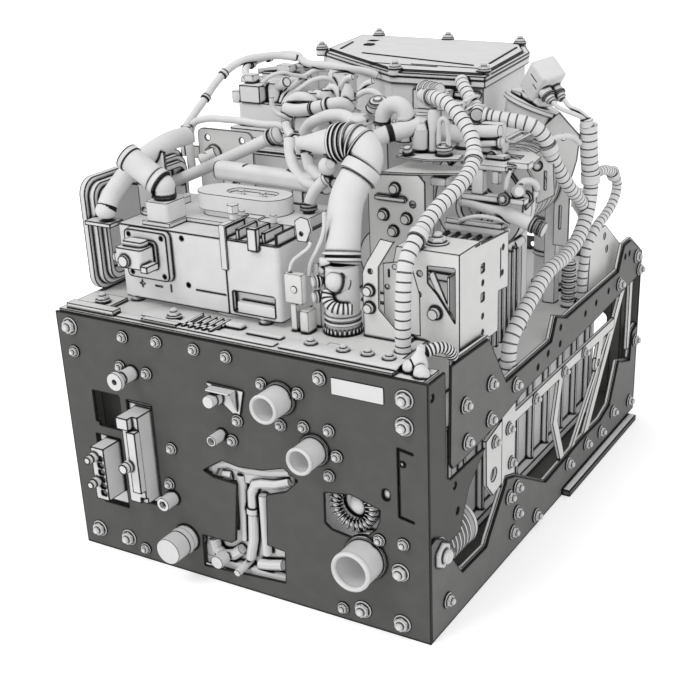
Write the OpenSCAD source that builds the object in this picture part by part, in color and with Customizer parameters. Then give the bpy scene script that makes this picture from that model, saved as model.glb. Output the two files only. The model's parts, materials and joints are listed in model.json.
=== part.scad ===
// Hydrogen fuel cell module: a steel frame with folded plates holds the cell stack,
// and its air, hydrogen, coolant and power parts stand above it.
// Millimetres. X runs right along the front plate, Y to the rear, Z up from the floor.

/* [Frame] */
// Width across the two side plates
plate_width = 630; // [624:660]
// Depth from the face of the front plate to the face of the rear plate
module_depth = 850; // [846:900]
// Height of the front plate
front_height = 400; // [398:410]
// Thickness of the folded sheet plates
plate_t = 4; // [3:5]
// Height of the base rails
rail_h = 40; // [34:46]
// Radius of the four fixing holes in the base rails
base_hole_r = 6.5; // [5.5:8]
// Distance between the base fixing holes across the module
base_hole_x = 530; // [520:540]
// Distance between the base fixing holes along the module
base_hole_y = 700; // [660:720]

/* [Ports] */
// Outer radius of the air inlet tube
air_in_r = 21; // [18:22]
// Outer radius of the air outlet tube
air_out_r = 20; // [17:21]
// Outer radius of the coolant tube
coolant_r = 30; // [26:32]
// Wall of the port tubes
port_wall = 3; // [2:4]

/* [Stack] */
// Width of the stack case
case_w = 500; // [470:510]
// Wall of the stack case
case_wall = 6; // [4:8]
// Number of cooling ribs along each long side of the case
case_ribs = 9; // [5:12]

/* [Machines] */
// Radius of the compressor motor housing
motor_r = 56; // [50:58]
// Radial running clearance of the rotor shafts in their bearings
shaft_gap = 0.05; // [0.03:0.08]
// Radius of the rotor shafts
shaft_r = 8; // [6:10]
// Number of blades on the compressor wheel
blades = 9; // [7:12]

/* [Hoses] */
// Radius of the corrugated conduits
conduit_r = 10.5; // [8:11]
// Radius of the main air hose
hose_r = 25; // [20:26]
// Sides of the swept hoses
hose_sides = 10; // [8:12]

/* [Hidden] */
$fn = 32;
eps = 0.01;

hw = plate_width / 2;
hd = module_depth / 2;
xi = hw - plate_t;
yf = -hd;
yb = yf + plate_t;
fh = front_height;
tray_z = 300;
tray_t = 5;
tray_top = tray_z + tray_t;
rail_top = 404;
stack_y0 = -236;
stack_y1 = 340;
bolt_gap = 0.6;

charcoal = [0.33, 0.33, 0.32];
light = [0.85, 0.85, 0.85];
dark = [0.2, 0.2, 0.2];

// Big bolts with washers and small bolts on the front plate, as x and z
big_front = [[-289, 380], [281, 373], [-284, 32], [-224, 31], [269, 107], [206, 27], [270, 23],
    [280, 334]];
small_front = [[-187, 380], [-124, 383], [-57, 383], [-1, 382], [-286, 340], [-198, 331],
    [-149, 329], [-117, 213], [-128, 151], [-191, 20], [-2, 252], [10, 286], [56, 352],
    [116, 349], [84, 295], [122, 300], [163, 303], [174, 266], [160, 233], [237, 151], [275, 154],
    [173, 20]];
// Bolts of the right side, as y and z, on the lower and the upper plate
lower_side = [[-375, 46], [-135, 66], [-56, 20], [-149, 38], [-137, 112], [393, 41],
    [168, 50], [240, 42], [301, 56], [83, 50], [-165, 108], [408, 160]];
upper_side = [[-236, 327], [-320, 328], [-314, 270], [-238, 272], [-148, 290], [300, 305],
    [388, 330], [408, 300]];
inner_side = [[-160, 222], [-150, 160], [-60, 230], [60, 230], [150, 230], [-210, 222]];
band_holes = [[30, 318], [30, 290], [330, 346], [352, 346], [250, 308], [190, 306], [140, 304],
    [-60, 284], [-20, 292]];

// Routes of the corrugated conduits
route_a = [[115, -10, 667], [156, -40, 664], [197, -75, 649], [222, -100, 639], [236, -125, 624],
    [243, -150, 608], [247, -190, 589], [243, -230, 578], [236, -268, 566], [237, -290, 558],
    [240, -318, 546], [236, -332, 529], [234, -341, 500], [236, -346, 469], [238, -348, 437],
    [238, -348, 404.3]];
collar_a = [[225.5, -106.25, 635.25], [231.8, -117.5, 628.5]];
collar_b = [[236.2, -272.4, 564.4], [236.75, -284.5, 560]];
route_b = [[190, 20, 641.5], [192, 32, 640], [197, 60, 632], [200, 99, 621], [200, 160, 604],
    [200, 206, 591], [200, 233, 567], [200, 246, 541], [200, 269, 497], [200, 299, 467],
    [200, 334, 440], [200, 378, 424], [200, 420.6, 420]];
route_c = [[298, 166, 607], [298, 170, 570], [298, 179, 538], [298, 185, 518], [298, 182, 482],
    [298, 149, 440], [298, 86, 419], [298, 15, 415], [298, -57, 389], [297, -98, 368],
    [294, -119, 345], [293.5, -124, 322], [293.5, -124, 306]];
route_d = [[108, 97.8, 670], [121, 80, 668], [139, 62, 660], [158, 46, 650], [168, 30, 647],
    [171, 20.5, 645.5]];
route_e = [[296, 221.2, 521.7], [296, 261, 516], [296, 297, 501], [296, 321, 476], [296, 311, 456],
    [296, 271, 437], [296, 228, 427], [293, 199, 406], [289, 190, 360], [288, 189, 305.3]];
route_intake = [[-262, -346, 535], [-262, -331, 552], [-262, -311, 567], [-256, -292, 584],
    [-238, -278, 608], [-228, -232, 626], [-240, -172, 623]];
route_tube = [[-287, -98, 617], [-294, -60, 642], [-287, -10, 673], [-276, 50, 693],
    [-245, 100, 698], [-202, 124, 690], [-157, 126, 680], [-122, 124, 670], [-108.1, 137.4, 664],
    [-100.2, 148.8, 664]];

// Draws a plan drawn in x and z as a plate from y0, th thick
module xz(y0, th) {
    translate([0, y0 + th, 0])
        rotate([90, 0, 0])
            linear_extrude(th)
                children();
}

// Draws a plan drawn in y and z as a plate from x0, th thick
module yz(x0, th) {
    translate([x0, 0, 0])
        rotate([90, 0, 90])
            linear_extrude(th)
                children();
}

module rrect(w, h, r) {
    square([w - 2 * r, h], center = true);
    square([w, h - 2 * r], center = true);
    for (x = [-1, 1], y = [-1, 1])
        translate([x * (w / 2 - r), y * (h / 2 - r)])
            circle(r = r);
}

module box(a, b) {
    translate(a)
        cube(b - a);
}

// A box with upright edges rounded to r
module rbox(a, b, r) {
    translate([(a[0] + b[0]) / 2, (a[1] + b[1]) / 2, a[2]])
        linear_extrude(b[2] - a[2])
            rrect(b[0] - a[0], b[1] - a[1], r);
}

module rod(a, b, r) {
    d = b - a;
    translate(a)
        rotate([0, acos(d[2] / norm(d)), atan2(d[1], d[0])])
            cylinder(h = norm(d), r = r);
}

module tube(a, b, r, wall) {
    d = b - a;
    translate(a)
        rotate([0, acos(d[2] / norm(d)), atan2(d[1], d[0])])
            difference() {
                cylinder(h = norm(d), r = r);
                translate([0, 0, -1])
                    cylinder(h = norm(d) + 2, r = r - wall);
            }
}

// A smooth pipe through the points, with a rounded corner at each
module pipe(pts, r) {
    for (i = [0 : len(pts) - 2])
        rod(pts[i], pts[i + 1], r);
    if (len(pts) > 2)
        for (i = [1 : len(pts) - 2])
            translate(pts[i])
                sphere(r = r * 1.03);
}

function unit(v) = v / norm(v);
function tangent(p, i) = unit(p[min(i + 1, len(p) - 1)] - p[max(i - 1, 0)]);

// A faceted hose swept along a route; side is a direction the route never follows
module sweep(p, r, side) {
    n = hose_sides;
    m = len(p);
    pts = [for (i = [0 : m - 1])
        let (t = tangent(p, i), u = unit(cross(side, t)), v = cross(t, u))
        for (k = [0 : n - 1])
            p[i] + r * (cos(360 * k / n) * u + sin(360 * k / n) * v)];
    faces = concat(
        [[for (k = [0 : n - 1]) k]],
        [[for (k = [0 : n - 1]) m * n - 1 - k]],
        [for (i = [0 : m - 2], k = [0 : n - 1])
            [i * n + k, (i + 1) * n + k, i * n + (k + 1) % n]],
        [for (i = [0 : m - 2], k = [0 : n - 1])
            [i * n + (k + 1) % n, (i + 1) * n + k, (i + 1) * n + (k + 1) % n]]);
    polyhedron(points = pts, faces = faces);
}

// A hexagon bolt with its washer; the clamped face is z = 0 and the head points up
module hexbolt(d, shank, washer) {
    cylinder(h = 1.8, r = washer);
    translate([0, 0, 1.8 - eps])
        cylinder(h = d * 0.65, r = d * 0.92, $fn = 6);
    translate([0, 0, -shank])
        cylinder(h = shank + eps, r = d / 2);
}

module front_bolt(x, z, d, washer) {
    translate([x, yf, z])
        rotate([90, 15, 0])
            hexbolt(d, z > 360 ? plate_t + 4 : plate_t + 0.8, washer);
}

module side_bolt(y, z, x0, d, washer, shank) {
    translate([x0, y, z])
        rotate([0, 90, 0])
            hexbolt(d, shank, washer);
}

module hole_list(pts, r) {
    for (p = pts)
        translate(p)
            circle(r = r);
}

// Base: two box rails, cross members, four corner posts and the outer feet
module base_frame() {
    color(charcoal)
        difference() {
            union() {
                for (s = [-1, 1]) {
                    translate([s * (base_hole_x / 2 + 5) - 30, yb + 7, 0])
                        cube([60, module_depth - 2 * plate_t - 14, rail_h]);
                    translate([s > 0 ? base_hole_x / 2 + 30 : -hw - 15, 60, 0])
                        cube([hw + 15 - base_hole_x / 2 - 30, 340, 10]);
                    for (y = [-388, 384])
                        translate([s * (xi - 26) - 10, y, rail_h - eps])
                            cube([20, 20, tray_z - rail_h + eps]);
                }
                for (y = [-392, -20, 375])
                    translate([-base_hole_x / 2, y, 0])
                        cube([base_hole_x, 40, rail_h - 4]);
            }
            for (x = [-1, 1], y = [-1, 1])
                translate([x * base_hole_x / 2, y * base_hole_y / 2, -1])
                    cylinder(h = rail_h - 6, r = base_hole_r);
            for (x = [-1, 1], y = [100, 360])
                translate([x * (hw + 6), y, -1])
                    cylinder(h = 12, r = 5.5);
            for (s = [-1, 1])
                translate([s * (base_hole_x / 2 + 5) - 22, -280, 8])
                    cube([44, 560, rail_h - 16]);
        }
}

module front_cutouts() {
    polygon([[-266, 86], [-217, 86], [-217, 206], [-266, 206]]);
    polygon([[-206, 106], [-148, 106], [-148, 277], [-196, 277], [-196, 200], [-206, 200]]);
    polygon([[-262, 228], [-256, 228], [-256, 222], [-210, 222], [-210, 280], [-262, 280]]);
    polygon([[-62, 189], [-25, 213], [3, 209], [45, 213], [82, 225], [106, 211], [83, 188],
        [49, 175], [44, 89], [75, 86], [73, 32], [-77, 20], [-75, 75], [-21, 75], [-13, 81],
        [-2, 180], [-45, 182]]);
    polygon([[149, 203], [192, 210], [239, 198], [237, 180], [231, 165], [215, 150], [189, 142],
        [159, 146], [148, 154]]);
    polygon([[292, 190], [268, 194], [268, 300], [292, 296], [292, 293.5], [270.5, 297],
        [270.5, 196.5], [292, 192.5]]);
    translate([86, 336])
        circle(r = air_in_r + 1);
    translate([138, 268])
        circle(r = air_out_r + 1);
    translate([214, 116])
        circle(r = coolant_r + 1);
    translate([-105, 63])
        circle(r = 22);
    translate([-177, 325])
        circle(r = 11);
    translate([-124, 128])
        circle(r = 12);
    translate([-20, 258])
        circle(r = 9);
    translate([249, 224])
        rrect(12, 18, 5.9);
    translate([276, 277])
        circle(r = 4.5);
    hole_list(big_front, 5 + bolt_gap);
    hole_list(small_front, 4 + bolt_gap);
}

// Front plate with a return flange on each side
module front_plate() {
    color(charcoal) {
        xz(yf, plate_t)
            difference() {
                translate([-hw, 0])
                    square([plate_width, fh]);
                front_cutouts();
            }
        difference() {
            yz(xi - plate_t, plate_t)
                polygon([[yb - 1, 4], [yb + 52, 4], [yb + 55, 130], [yb + 96, 130], [-294, 188],
                    [-241, 226], [-281, 228], [-354, 228], [-366, 237], [-367, fh - 6],
                    [yb - 1, fh - 6]]);
            for (p = [[-405, 372], [-332, 168], [-340, 212], [-375, 46], [-392, 130]])
                translate([xi - plate_t - 1, p[0], p[1]])
                    rotate([0, 90, 0])
                        cylinder(h = plate_t + 2, r = 5 + bolt_gap);
        }
        box([-xi, yb - 1, 4], [-xi + plate_t, yb + 24, fh - 6]);
    }
}

module upper_outline(g) {
    polygon([[-357 + g, 399 + g], [-239 + g, 395 + g], [-179 + g, 306 + g], [-5 - g, 306 + g],
        [14 - g, 341 + g], [56, 325 + g], [300, 327 + g], [325 - g, 368 + g], [361 + g, 368 + g],
        [-yb, 332 + g], [-yb, 288 - g], [192, 275 - g], [-101, 265 - g], [-193, 253 - g],
        [-233, 250 - g], [-319, 245 - g], [-354 + g, 246 - g], [-361 + g, 256]]);
}

module lower_outline(g, y0) {
    polygon([[y0, 0], [y0, 160], [max(y0, -406), 163 + g], [max(y0, -383), 150 + g],
        [max(y0, -346 + g), 114 + g], [max(y0, -357 + g), 105 + g], [-324 + g, 63 + g],
        [-241 - g, 60 + g], [-233 - g, 71 + g], [-172 - g, 135 + g], [-171, 142 + g],
        [-137, 131 + g], [-13, 60 + g], [158, 66 + g], [242, 63 + g], [288 - g, 74 + g],
        [327 - g, 147 + g], [344, 139 + g], [391 - g, 124 + g], [396 - g, 180 + g],
        [-yb, 186 + g], [-yb, 12], [58, 12], [58, 0]]);
}

module side_plate_upper() {
    color(charcoal)
        difference() {
            yz(xi, plate_t)
                upper_outline(0);
            yz(xi - 1, plate_t + 2) {
                hole_list(upper_side, 5 + bolt_gap);
                hole_list(band_holes, 5);
            }
        }
}

module side_plate_lower() {
    color(charcoal)
        difference() {
            yz(xi, plate_t)
                lower_outline(0, yb);
            yz(xi - 1, plate_t + 2) {
                hole_list(lower_side, 5 + bolt_gap);
                translate([-392, 130])
                    circle(r = 5 + bolt_gap);
            }
        }
}

// Inner rail of the right side: backs both plates and joins them with braces
module side_inner_right() {
    color(light)
        difference() {
            yz(xi - 6, 6) {
                difference() {
                    upper_outline(4);
                    translate([-365, 225])
                        square([20, 200]);
                }
                difference() {
                    lower_outline(4, yb);
                    translate([-500, -1])
                        square([170, 300]);
                    translate([-340, -1])
                        square([760, 13]);
                }
                polygon([[-183, 100], [-134, 100], [-134, 262], [-183, 262]]);
                polygon([[-238, 234], [-180, 246], [-180, 140], [-212, 133], [-236, 160]]);
                polygon([[-138, 222], [300, 222], [300, 240], [-138, 240]]);
                polygon([[335, 290], [358, 290], [185, 60], [160, 60]]);
                polygon([[290, 240], [303, 240], [120, 64], [104, 64]]);
                polygon([[60, 64], [78, 64], [40, 150], [60, 224], [42, 224], [20, 150]]);
                translate([226, 182])
                    circle(r = 16);
                polygon([[214, 194], [238, 194], [250, 226], [226, 226]]);
                polygon([[378, 150], [392, 150], [392, 300], [378, 300]]);
            }
            yz(xi - 7, 8) {
                hole_list(upper_side, 5 + bolt_gap);
                hole_list([for (i = [0 : 11]) if (lower_side[i][0] > -330) lower_side[i]], 5 + bolt_gap);
                hole_list(inner_side, 4 + bolt_gap);
                hole_list(band_holes, 5);
                translate([-211, 168])
                    circle(r = 11);
                translate([226, 182])
                    circle(r = 6);
            }
        }
}

// Left side plate with two windows over the stack
module side_plate_left() {
    color(charcoal)
        difference() {
            yz(-hw, plate_t)
                polygon([[yb, 0], [yb, 395], [-235, 395], [-180, 325], [300, 325], [325, 368],
                    [-yb, 368], [-yb, 12], [58, 12], [58, 0]]);
            yz(-hw - 1, plate_t + 2) {
                polygon([[-330, 70], [-60, 70], [-60, 230], [-330, 190]]);
                polygon([[-20, 70], [340, 70], [340, 190], [300, 240], [-20, 240]]);
                hole_list([for (y = [-390, -40, 370]) [y, 50]], 5 + bolt_gap);
                hole_list([for (y = [-390, -200, -40, 120, 370]) [y, 285]], 5 + bolt_gap);
            }
        }
}

module rear_plate() {
    color(charcoal)
        xz(hd - plate_t, plate_t)
            difference() {
                translate([-hw, 12])
                    square([plate_width, 318]);
                for (x = [-170, 60])
                    translate([x, 150])
                        rrect(150, 130, 12);
                translate([220, 150])
                    rrect(70, 100, 12);
                for (x = [-295, -100, 100, 295], z = [30, 315])
                    translate([x, z])
                        circle(r = 5 + bolt_gap);
            }
}

// Tray between the stack and the equipment above it
module deck_tray() {
    color(light)
        difference() {
            union() {
                box([-xi + 6, -388, tray_z], [xi - 7, -hd * -1 - plate_t - 1, tray_top]);
                for (x = [-200, 0, 200])
                    box([x - 12, -300, tray_z - 8], [x + 12, 380, tray_z + eps]);
            }
            for (x = [-240, 0])
                translate([x, -310, tray_z - 10])
                    cylinder(h = 20, r = 30);
            rbox([-60, 250, tray_z - 10], [60, 330, tray_top + 1], 12);
        }
}

// Light top rails behind the front plate and along the left side, with their legs
module top_rails() {
    color(light) {
        difference() {
            union() {
                box([-xi + 0.5, yb, rail_top - 8], [262, -372, rail_top]);
                box([262 - eps, yb, rail_top - 8], [xi - plate_t - 0.5, -376, rail_top - 4]);
                box([-xi + 0.5, -372 - eps, rail_top - 6], [-248, 410, rail_top]);
                box([-248 - eps, -372 - eps, rail_top - 6], [250, -166, rail_top]);
                box([-300, yb, rail_top - 36], [300, yb + 5, rail_top - 8 + eps]);
                for (x = [-282, 244])
                    box([x, -364, tray_top], [x + 6, -230, rail_top - 6 + eps]);
                box([-282, 180, tray_top], [-276, 400, rail_top - 6 + eps]);
                box([-300, yb + 6, rail_top - eps], [-210, -398, rail_top + 8]);
                box([-300, -398 - eps, rail_top - eps], [-235, -352, rail_top + 5]);
                box([-160, yb + 8, rail_top - eps], [-96, -402, rail_top + 5]);
                for (x = [-90 : 12 : -42])
                    box([x, yb + 12, rail_top - eps], [x + 5, -360, rail_top + 5]);
                box([136, -392, rail_top - eps], [156, -370, rail_top + 3]);
            }
            for (p = big_front)
                if (p[1] > 360)
                    translate([p[0], yb - 1, p[1]])
                        rotate([-90, 0, 0])
                            cylinder(h = 8, r = 5 + bolt_gap);
            for (p = small_front)
                if (p[1] > 360)
                    translate([p[0], yb - 1, p[1]])
                        rotate([-90, 0, 0])
                            cylinder(h = 8, r = 4 + bolt_gap);
            for (p = deck_points)
                translate([p[0], p[1], rail_top - 12])
                    cylinder(h = 30, r = 4 + bolt_gap);
            translate([-60, -300, rail_top - 10])
                cylinder(h = 20, r = 40);
        }
    }
}

// Bare plate with a slight rim
module nameplate_blank() {
    color(light)
        xz(yf - 1.2, 1.2)
            translate([210, 371])
                rrect(80, 24, 1.5);
}

// Ribbed case around the cells, closed by a plate at each end
module stack_case() {
    z0 = rail_h + 6;
    z1 = tray_z - 10;
    color(light)
        difference() {
            union() {
                box([-case_w / 2, stack_y0, z0], [case_w / 2, stack_y1, z1]);
                for (i = [0 : case_ribs - 1], s = [-1, 1])
                    translate([s * (case_w / 2 + 5) - 6, -206 + i * 526 / (case_ribs - 1) - 4, z0 + 10])
                        cube([12, 8, z1 - z0 - 30]);
                for (s = [-1, 1]) {
                    translate([s * (case_w / 2 + 8) - 9, stack_y0 + 8, z1 - 24])
                        cube([18, stack_y1 - stack_y0 - 16, 14]);
                    translate([s * (case_w / 2 + 8) - 9, stack_y0 + 8, z0])
                        cube([18, stack_y1 - stack_y0 - 16, 14]);
                }
            }
            box([-case_w / 2 + case_wall, stack_y0 - 1, z0 + case_wall],
                [case_w / 2 - case_wall, stack_y1 + 1, z1 - case_wall]);
        }
}

// Cells: flat plates with a parting gap between each group, on one common core
module cell_stack() {
    w = case_w - 2 * case_wall - 24;
    z0 = rail_h + 6 + case_wall + 8;
    z1 = tray_z - 10 - case_wall - 8;
    color(dark)
        difference() {
            box([-w / 2, stack_y0 + 8, z0], [w / 2, stack_y1 - 10, z1]);
            for (i = [1 : 21])
                translate([0, stack_y0 + 8 + i * (stack_y1 - stack_y0 - 18) / 22, 0])
                    difference() {
                        box([-w / 2 - 1, -1, z0 - 1], [w / 2 + 1, 1, z1 + 1]);
                        box([-w / 2 + 6, -2, z0 + 6], [w / 2 - 6, 2, z1 - 6]);
                    }
            for (x = [-1, 1], z = [z0 + 24, z1 - 24])
                translate([x * (w / 2 - 24), stack_y0 + 7, z])
                    rotate([-90, 0, 0])
                        cylinder(h = stack_y1 - stack_y0 - 16, r = 7);
        }
}

module stack_end_plates() {
    w = case_w - 2 * case_wall - 24;
    z0 = rail_h + 6 + case_wall + 8;
    z1 = tray_z - 10 - case_wall - 8;
    color(light)
        difference() {
            union() {
                box([-case_w / 2 - 4, stack_y0 - 12, rail_h + 0.3], [case_w / 2 + 4, stack_y0 - 0.4, tray_z - 9]);
                box([-case_w / 2 - 4, stack_y1 + 0.4, rail_h + 0.3], [case_w / 2 + 4, stack_y1 + 14, tray_z - 9]);
            }
            for (x = [-1, 1], z = [z0 + 24, z1 - 24])
                translate([x * (w / 2 - 24), -300, z])
                    rotate([-90, 0, 0])
                        cylinder(h = 680, r = 7);
        }
}

// Tie rods that clamp the cells between the end plates
module tie_rods() {
    w = case_w - 2 * case_wall - 24;
    z0 = rail_h + 6 + case_wall + 8;
    z1 = tray_z - 10 - case_wall - 8;
    color(light)
        for (x = [-1, 1], z = [z0 + 24, z1 - 24])
            translate([x * (w / 2 - 24), 0, z])
                rotate([-90, 0, 0]) {
                    translate([0, 0, stack_y0 - 18])
                        cylinder(h = stack_y1 - stack_y0 + 38, r = 6);
                    translate([0, 0, stack_y0 - 20.4])
                        cylinder(h = 8, r = 12, $fn = 6);
                    translate([0, 0, stack_y1 + 14.4])
                        cylinder(h = 8, r = 12, $fn = 6);
                }
}

// Media manifold: the plastic block behind the front plate that the ports open into
module media_manifold() {
    color(dark)
        difference() {
            union() {
                box([-272, -396, rail_h + 0.3], [272, -350, 288]);
                box([-262, -350 - eps, rail_h + 2], [214, -292, 288]);
            }
            translate([138, -397, 268])
                rotate([-90, 0, 0])
                    cylinder(h = 60, r = 14);
            translate([214, -397, 116])
                rotate([-90, 0, 0])
                    cylinder(h = 42, r = coolant_r - port_wall);
            rod([198, -360, 116], [198, -330, 116], 10);
            translate([-105, -397, 63])
                rotate([-90, 0, 0])
                    cylinder(h = 60, r = 8);
            box([-250, -340, rail_h + 20], [204, -291, 270]);
            translate([262, -397, 96])
                rotate([-90, 0, 0])
                    cylinder(h = 60, r = 12);
        }
}

module port(x, z, r, y0, y1, wall) {
    color(light) {
        tube([x, y0, z], [x, y1, z], r, wall);
        tube([x, yf - 4, z], [x, yf - 0.3, z], r + 3.5, 4.5);
        tube([x, yb + 0.3, z], [x, yb + 6.3, z], r + 5, 6);
    }
}

// Air inlet and air outlet tubes
module air_ports() {
    port(86, 336, air_in_r, yf - 43, -300, port_wall);
    port(138, 268, air_out_r, yf - 40, -396, port_wall);
}

module coolant_port() {
    port(214, 116, coolant_r, yf - 45, -396, port_wall);
}

// Closed drain stub, a ringed valve and two short tubes of the front plate
module front_fittings() {
    color(light)
        difference() {
            union() {
                rod([-105, yf - 49, 63], [-105, -396, 63], 21);
                rod([-105, yb + 1, 63], [-105, yb + 7, 63], 26);
                rod([-105, yf - 22, 63], [-105, yf - 12, 63], 22);
            }
            rod([-105, yf - 40, 63], [-105, -395, 63], 15);
        }
    color(light) {
        difference() {
            union() {
                rod([-177, yf - 41, 325], [-177, yf - 34, 325], 14);
                rod([-177, yf - 34 - eps, 325], [-177, yf - 24, 325], 8);
                rod([-177, yf - 24 - eps, 325], [-177, yb + 4, 325], 10.5);
                rod([-177, yb, 325], [-177, yb + 8, 325], 16);
            }
            rod([-177, yf - 60, 325], [-177, yf - 20, 325], 4);
        }
        difference() {
            union() {
                rod([-124, yf - 27, 128], [-124, yb + 4, 128], 11);
                rod([-124, yb, 128], [-124, yb + 8, 128], 17);
            }
            translate([-124, yf - 28, 128])
                rotate([-90, 0, 0])
                    cylinder(h = 12, r = 6, $fn = 6);
        }
        difference() {
            union() {
                rod([-20, yf - 28, 258], [-20, yb + 4, 258], 8);
                rod([-20, yb, 258], [-20, yb + 8, 258], 14);
            }
            rod([-20, yf - 29, 258], [-20, yf - 8, 258], 5);
        }
    }
}

// Triangular bracket with a round sensor
module sensor_bracket() {
    color(light)
        difference() {
            union() {
                xz(yf - 3, 3)
                    polygon([[-40, 336], [24, 334], [14, 290], [-8, 306]]);
                yz(10, 3)
                    polygon([[yf - 20, 333], [yf, 333], [yf, 294]]);
                box([-30, yf - 18, 331], [13, yf, 334]);
                rod([-21, yf - 26, 318], [-21, yf - 2, 318], 9);
                rod([-21, yf - 14, 318], [-21, yf - 2, 318], 11);
            }
            rod([10, yf - 30, 286], [10, yf + 4, 286], 12);
        }
}

// Low connector with two knobs, through the left cut-out
module signal_connector() {
    color(light) {
        difference() {
            box([-247, yf - 36, 114], [-222, -400, 203]);
            for (i = [0 : 5])
                box([-236, yf - 37, 122 + i * 12], [-226, yf - 33, 130 + i * 12]);
        }
        box([-262, yb + 0.3, 90], [-220, -400, 206]);
        for (z = [146, 188]) {
            rod([-240, yf - 46, z], [-240, yf - 30, z], 7.5);
            rod([-240, yf - 54, z], [-240, yf - 45, z], 6);
        }
    }
}

// Tall connector with a raised head and one knob
module power_connector() {
    color(light) {
        difference() {
            box([-184, yf - 30, 122], [-152, -400, 268]);
            box([-163, yf - 31, 110], [-151, yf - 26, 132]);
        }
        box([-184, yf - 41, 249], [-162, yf - 29, 268]);
        box([-167, yf - 41, 146], [-151, yf - 29, 247]);
        box([-202, yb + 0.3, 108], [-152, -400, 272]);
        rod([-168, yf - 48, 191], [-168, yf - 29, 191], 9);
        rod([-168, yf - 56, 191], [-168, yf - 47, 191], 8);
    }
}

// Light plate that carries the hydrogen pipes in the front opening
module pipe_carrier() {
    color(light)
        difference() {
            xz(-400, 3.5)
                polygon([[-84, 14], [82, 24], [84, 96], [56, 98], [58, 172], [112, 206], [84, 234],
                    [-24, 224], [-70, 196], [-50, 174], [-12, 174], [-24, 84], [-84, 84]]);
            translate([138, -410, 268])
                rotate([-90, 0, 0])
                    cylinder(h = 20, r = air_out_r + 9);
            translate([-105, -410, 63])
                rotate([-90, 0, 0])
                    cylinder(h = 20, r = 29);
        }
}

// Hydrogen pipes that cross the front opening
module hydrogen_pipes() {
    y = -408;
    color(light) {
        sweep([[-56, y - 0.4, 182], [-48, y - 0.4, 196], [-26, y - 0.4, 203], [8, y - 0.4, 200],
            [50, y - 0.4, 206], [84, y - 0.4, 214]], 8, [0, 1, 0]);
        sweep([[1, y - 2, 46], [9, y - 2, 80], [13, y - 2, 140], [14, y - 2, 164], [20, y - 2, 178],
            [34, y - 2, 183], [58, y - 2, 187], [84, y - 2, 198]], 7.5, [0, 1, 0]);
        sweep([[-66, y - 1, 64], [-63, y - 1, 46], [-50, y - 1, 38], [-30, y - 1, 44],
            [-14, y - 1, 58]], 8.6, [0, 1, 0]);
        sweep([[16, y - 0.4, 40], [34, y - 0.4, 43], [60, y - 0.4, 50]], 8, [0, 1, 0]);
        ring_clamp([12.2, y - 2, 128], [12.87, y - 2, 138], 9.6, 8.2);
        rod([-7, y + 0.5, 76], [-5, y + 0.5, 188], 7);
        rod([31, y + 0.5, 60], [31, y + 0.5, 162], 7);
        rod([-42, -418.2, 42], [-42, yf - 14, 42], 10.5);
        rod([-4, -402, 38], [-6, yf - 13, 33], 6);
        rod([-36, y - 0.4, 182], [-20, y - 0.4, 183], 7.8);
    }
}

// Ribbed hose and toothed clamp behind the half-moon window
module ribbed_coolant_hose() {
    color(light)
        translate([190, -409, 186])
            rotate([-90, 0, 0]) {
                rotate_extrude()
                    translate([29, 0])
                        circle(r = 8);
                difference() {
                    cylinder(h = 12.7, r = 33);
                    translate([0, 0, -1])
                        cylinder(h = 15, r = 26);
                }
                for (i = [0 : 23])
                    rotate([0, 0, i * 15])
                        translate([20, -1.2, -9])
                            cube([18, 2.4, 9]);
            }
}

// Corrugated duct between the manifold and the stack, seen through the right front opening
module stack_bellows() {
    color(light)
        translate([262, -349.7, 96])
            rotate([-90, 0, 0])
                difference() {
                    union() {
                        cylinder(h = 101, r = 30);
                        cylinder(h = 6, r = 40);
                        translate([0, 0, 93])
                            cylinder(h = 8, r = 41);
                        for (i = [0 : 6])
                            translate([0, 0, 12 + i * 11])
                                cylinder(h = 5, r = 40);
                    }
                    translate([0, 0, -1])
                        cylinder(h = 103, r = 25);
                }
}

// Power converter case: hollow, with a pocket low on its right front corner
module converter_case() {
    color(light)
        difference() {
            union() {
                rbox([-240, -350, 412], [45, -184, 525], 6);
                box([-56, -346, 524], [42, -301, 541]);
                for (x = [-225, 10], y = [-340, -200])
                    translate([x, y, rail_top])
                        cylinder(h = 8.5, r = 9);
            }
            box([-233, -343, 419], [38, -191, 519]);
            box([-38, -351, 418], [34, -334, 449]);
            translate([0, 0, -eps])
                box([-47, -351, 400], [-45.4, -349, 530]);
            for (i = [0 : 3])
                box([-44 + i * 22, -347, 526], [-28 + i * 22, -300, 542]);
            for (p = [[-122, 516], [-117, 446]])
                rod([p[0], -351, p[1]], [p[0], -340, p[1]], 3.2);
            box([-104, -350.8, 440], [-50, -349, 441.6]);
            for (p = [[-204, -150], [-150, -150]])
                box([p[0] - 1, -350.8, 430], [p[0] + 1, -349, 442]);
            box([-209, -350.8, 435], [-199, -349, 437]);
            box([-180, -350.8, 435], [-166, -349, 437]);
        }
    color(light) {
        xz(-336, 2)
            polygon([[-38, 418], [34, 418], [34, 449], [-38, 449]]);
        box([-2, -356, 515], [14, -347, 548]);
    }
}

// Power board with two chokes inside the converter
module converter_boards() {
    color(dark) {
        box([-225, -332, 424], [30, -200, 430]);
        for (x = [-215, 16], y = [-322, -214])
            translate([x, y, 419.3])
                cylinder(h = 5, r = 5);
        for (x = [-190, -110, -30])
            translate([x, -262, 430 - eps])
                cylinder(h = 60, r = 26);
        box([2, -318, 430 - eps], [26, -214, 480]);
    }
}

module oval(l, w, h) {
    translate([0, 0, 0])
        linear_extrude(h)
            rrect(l, w, w / 2 - 0.5);
}

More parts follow.
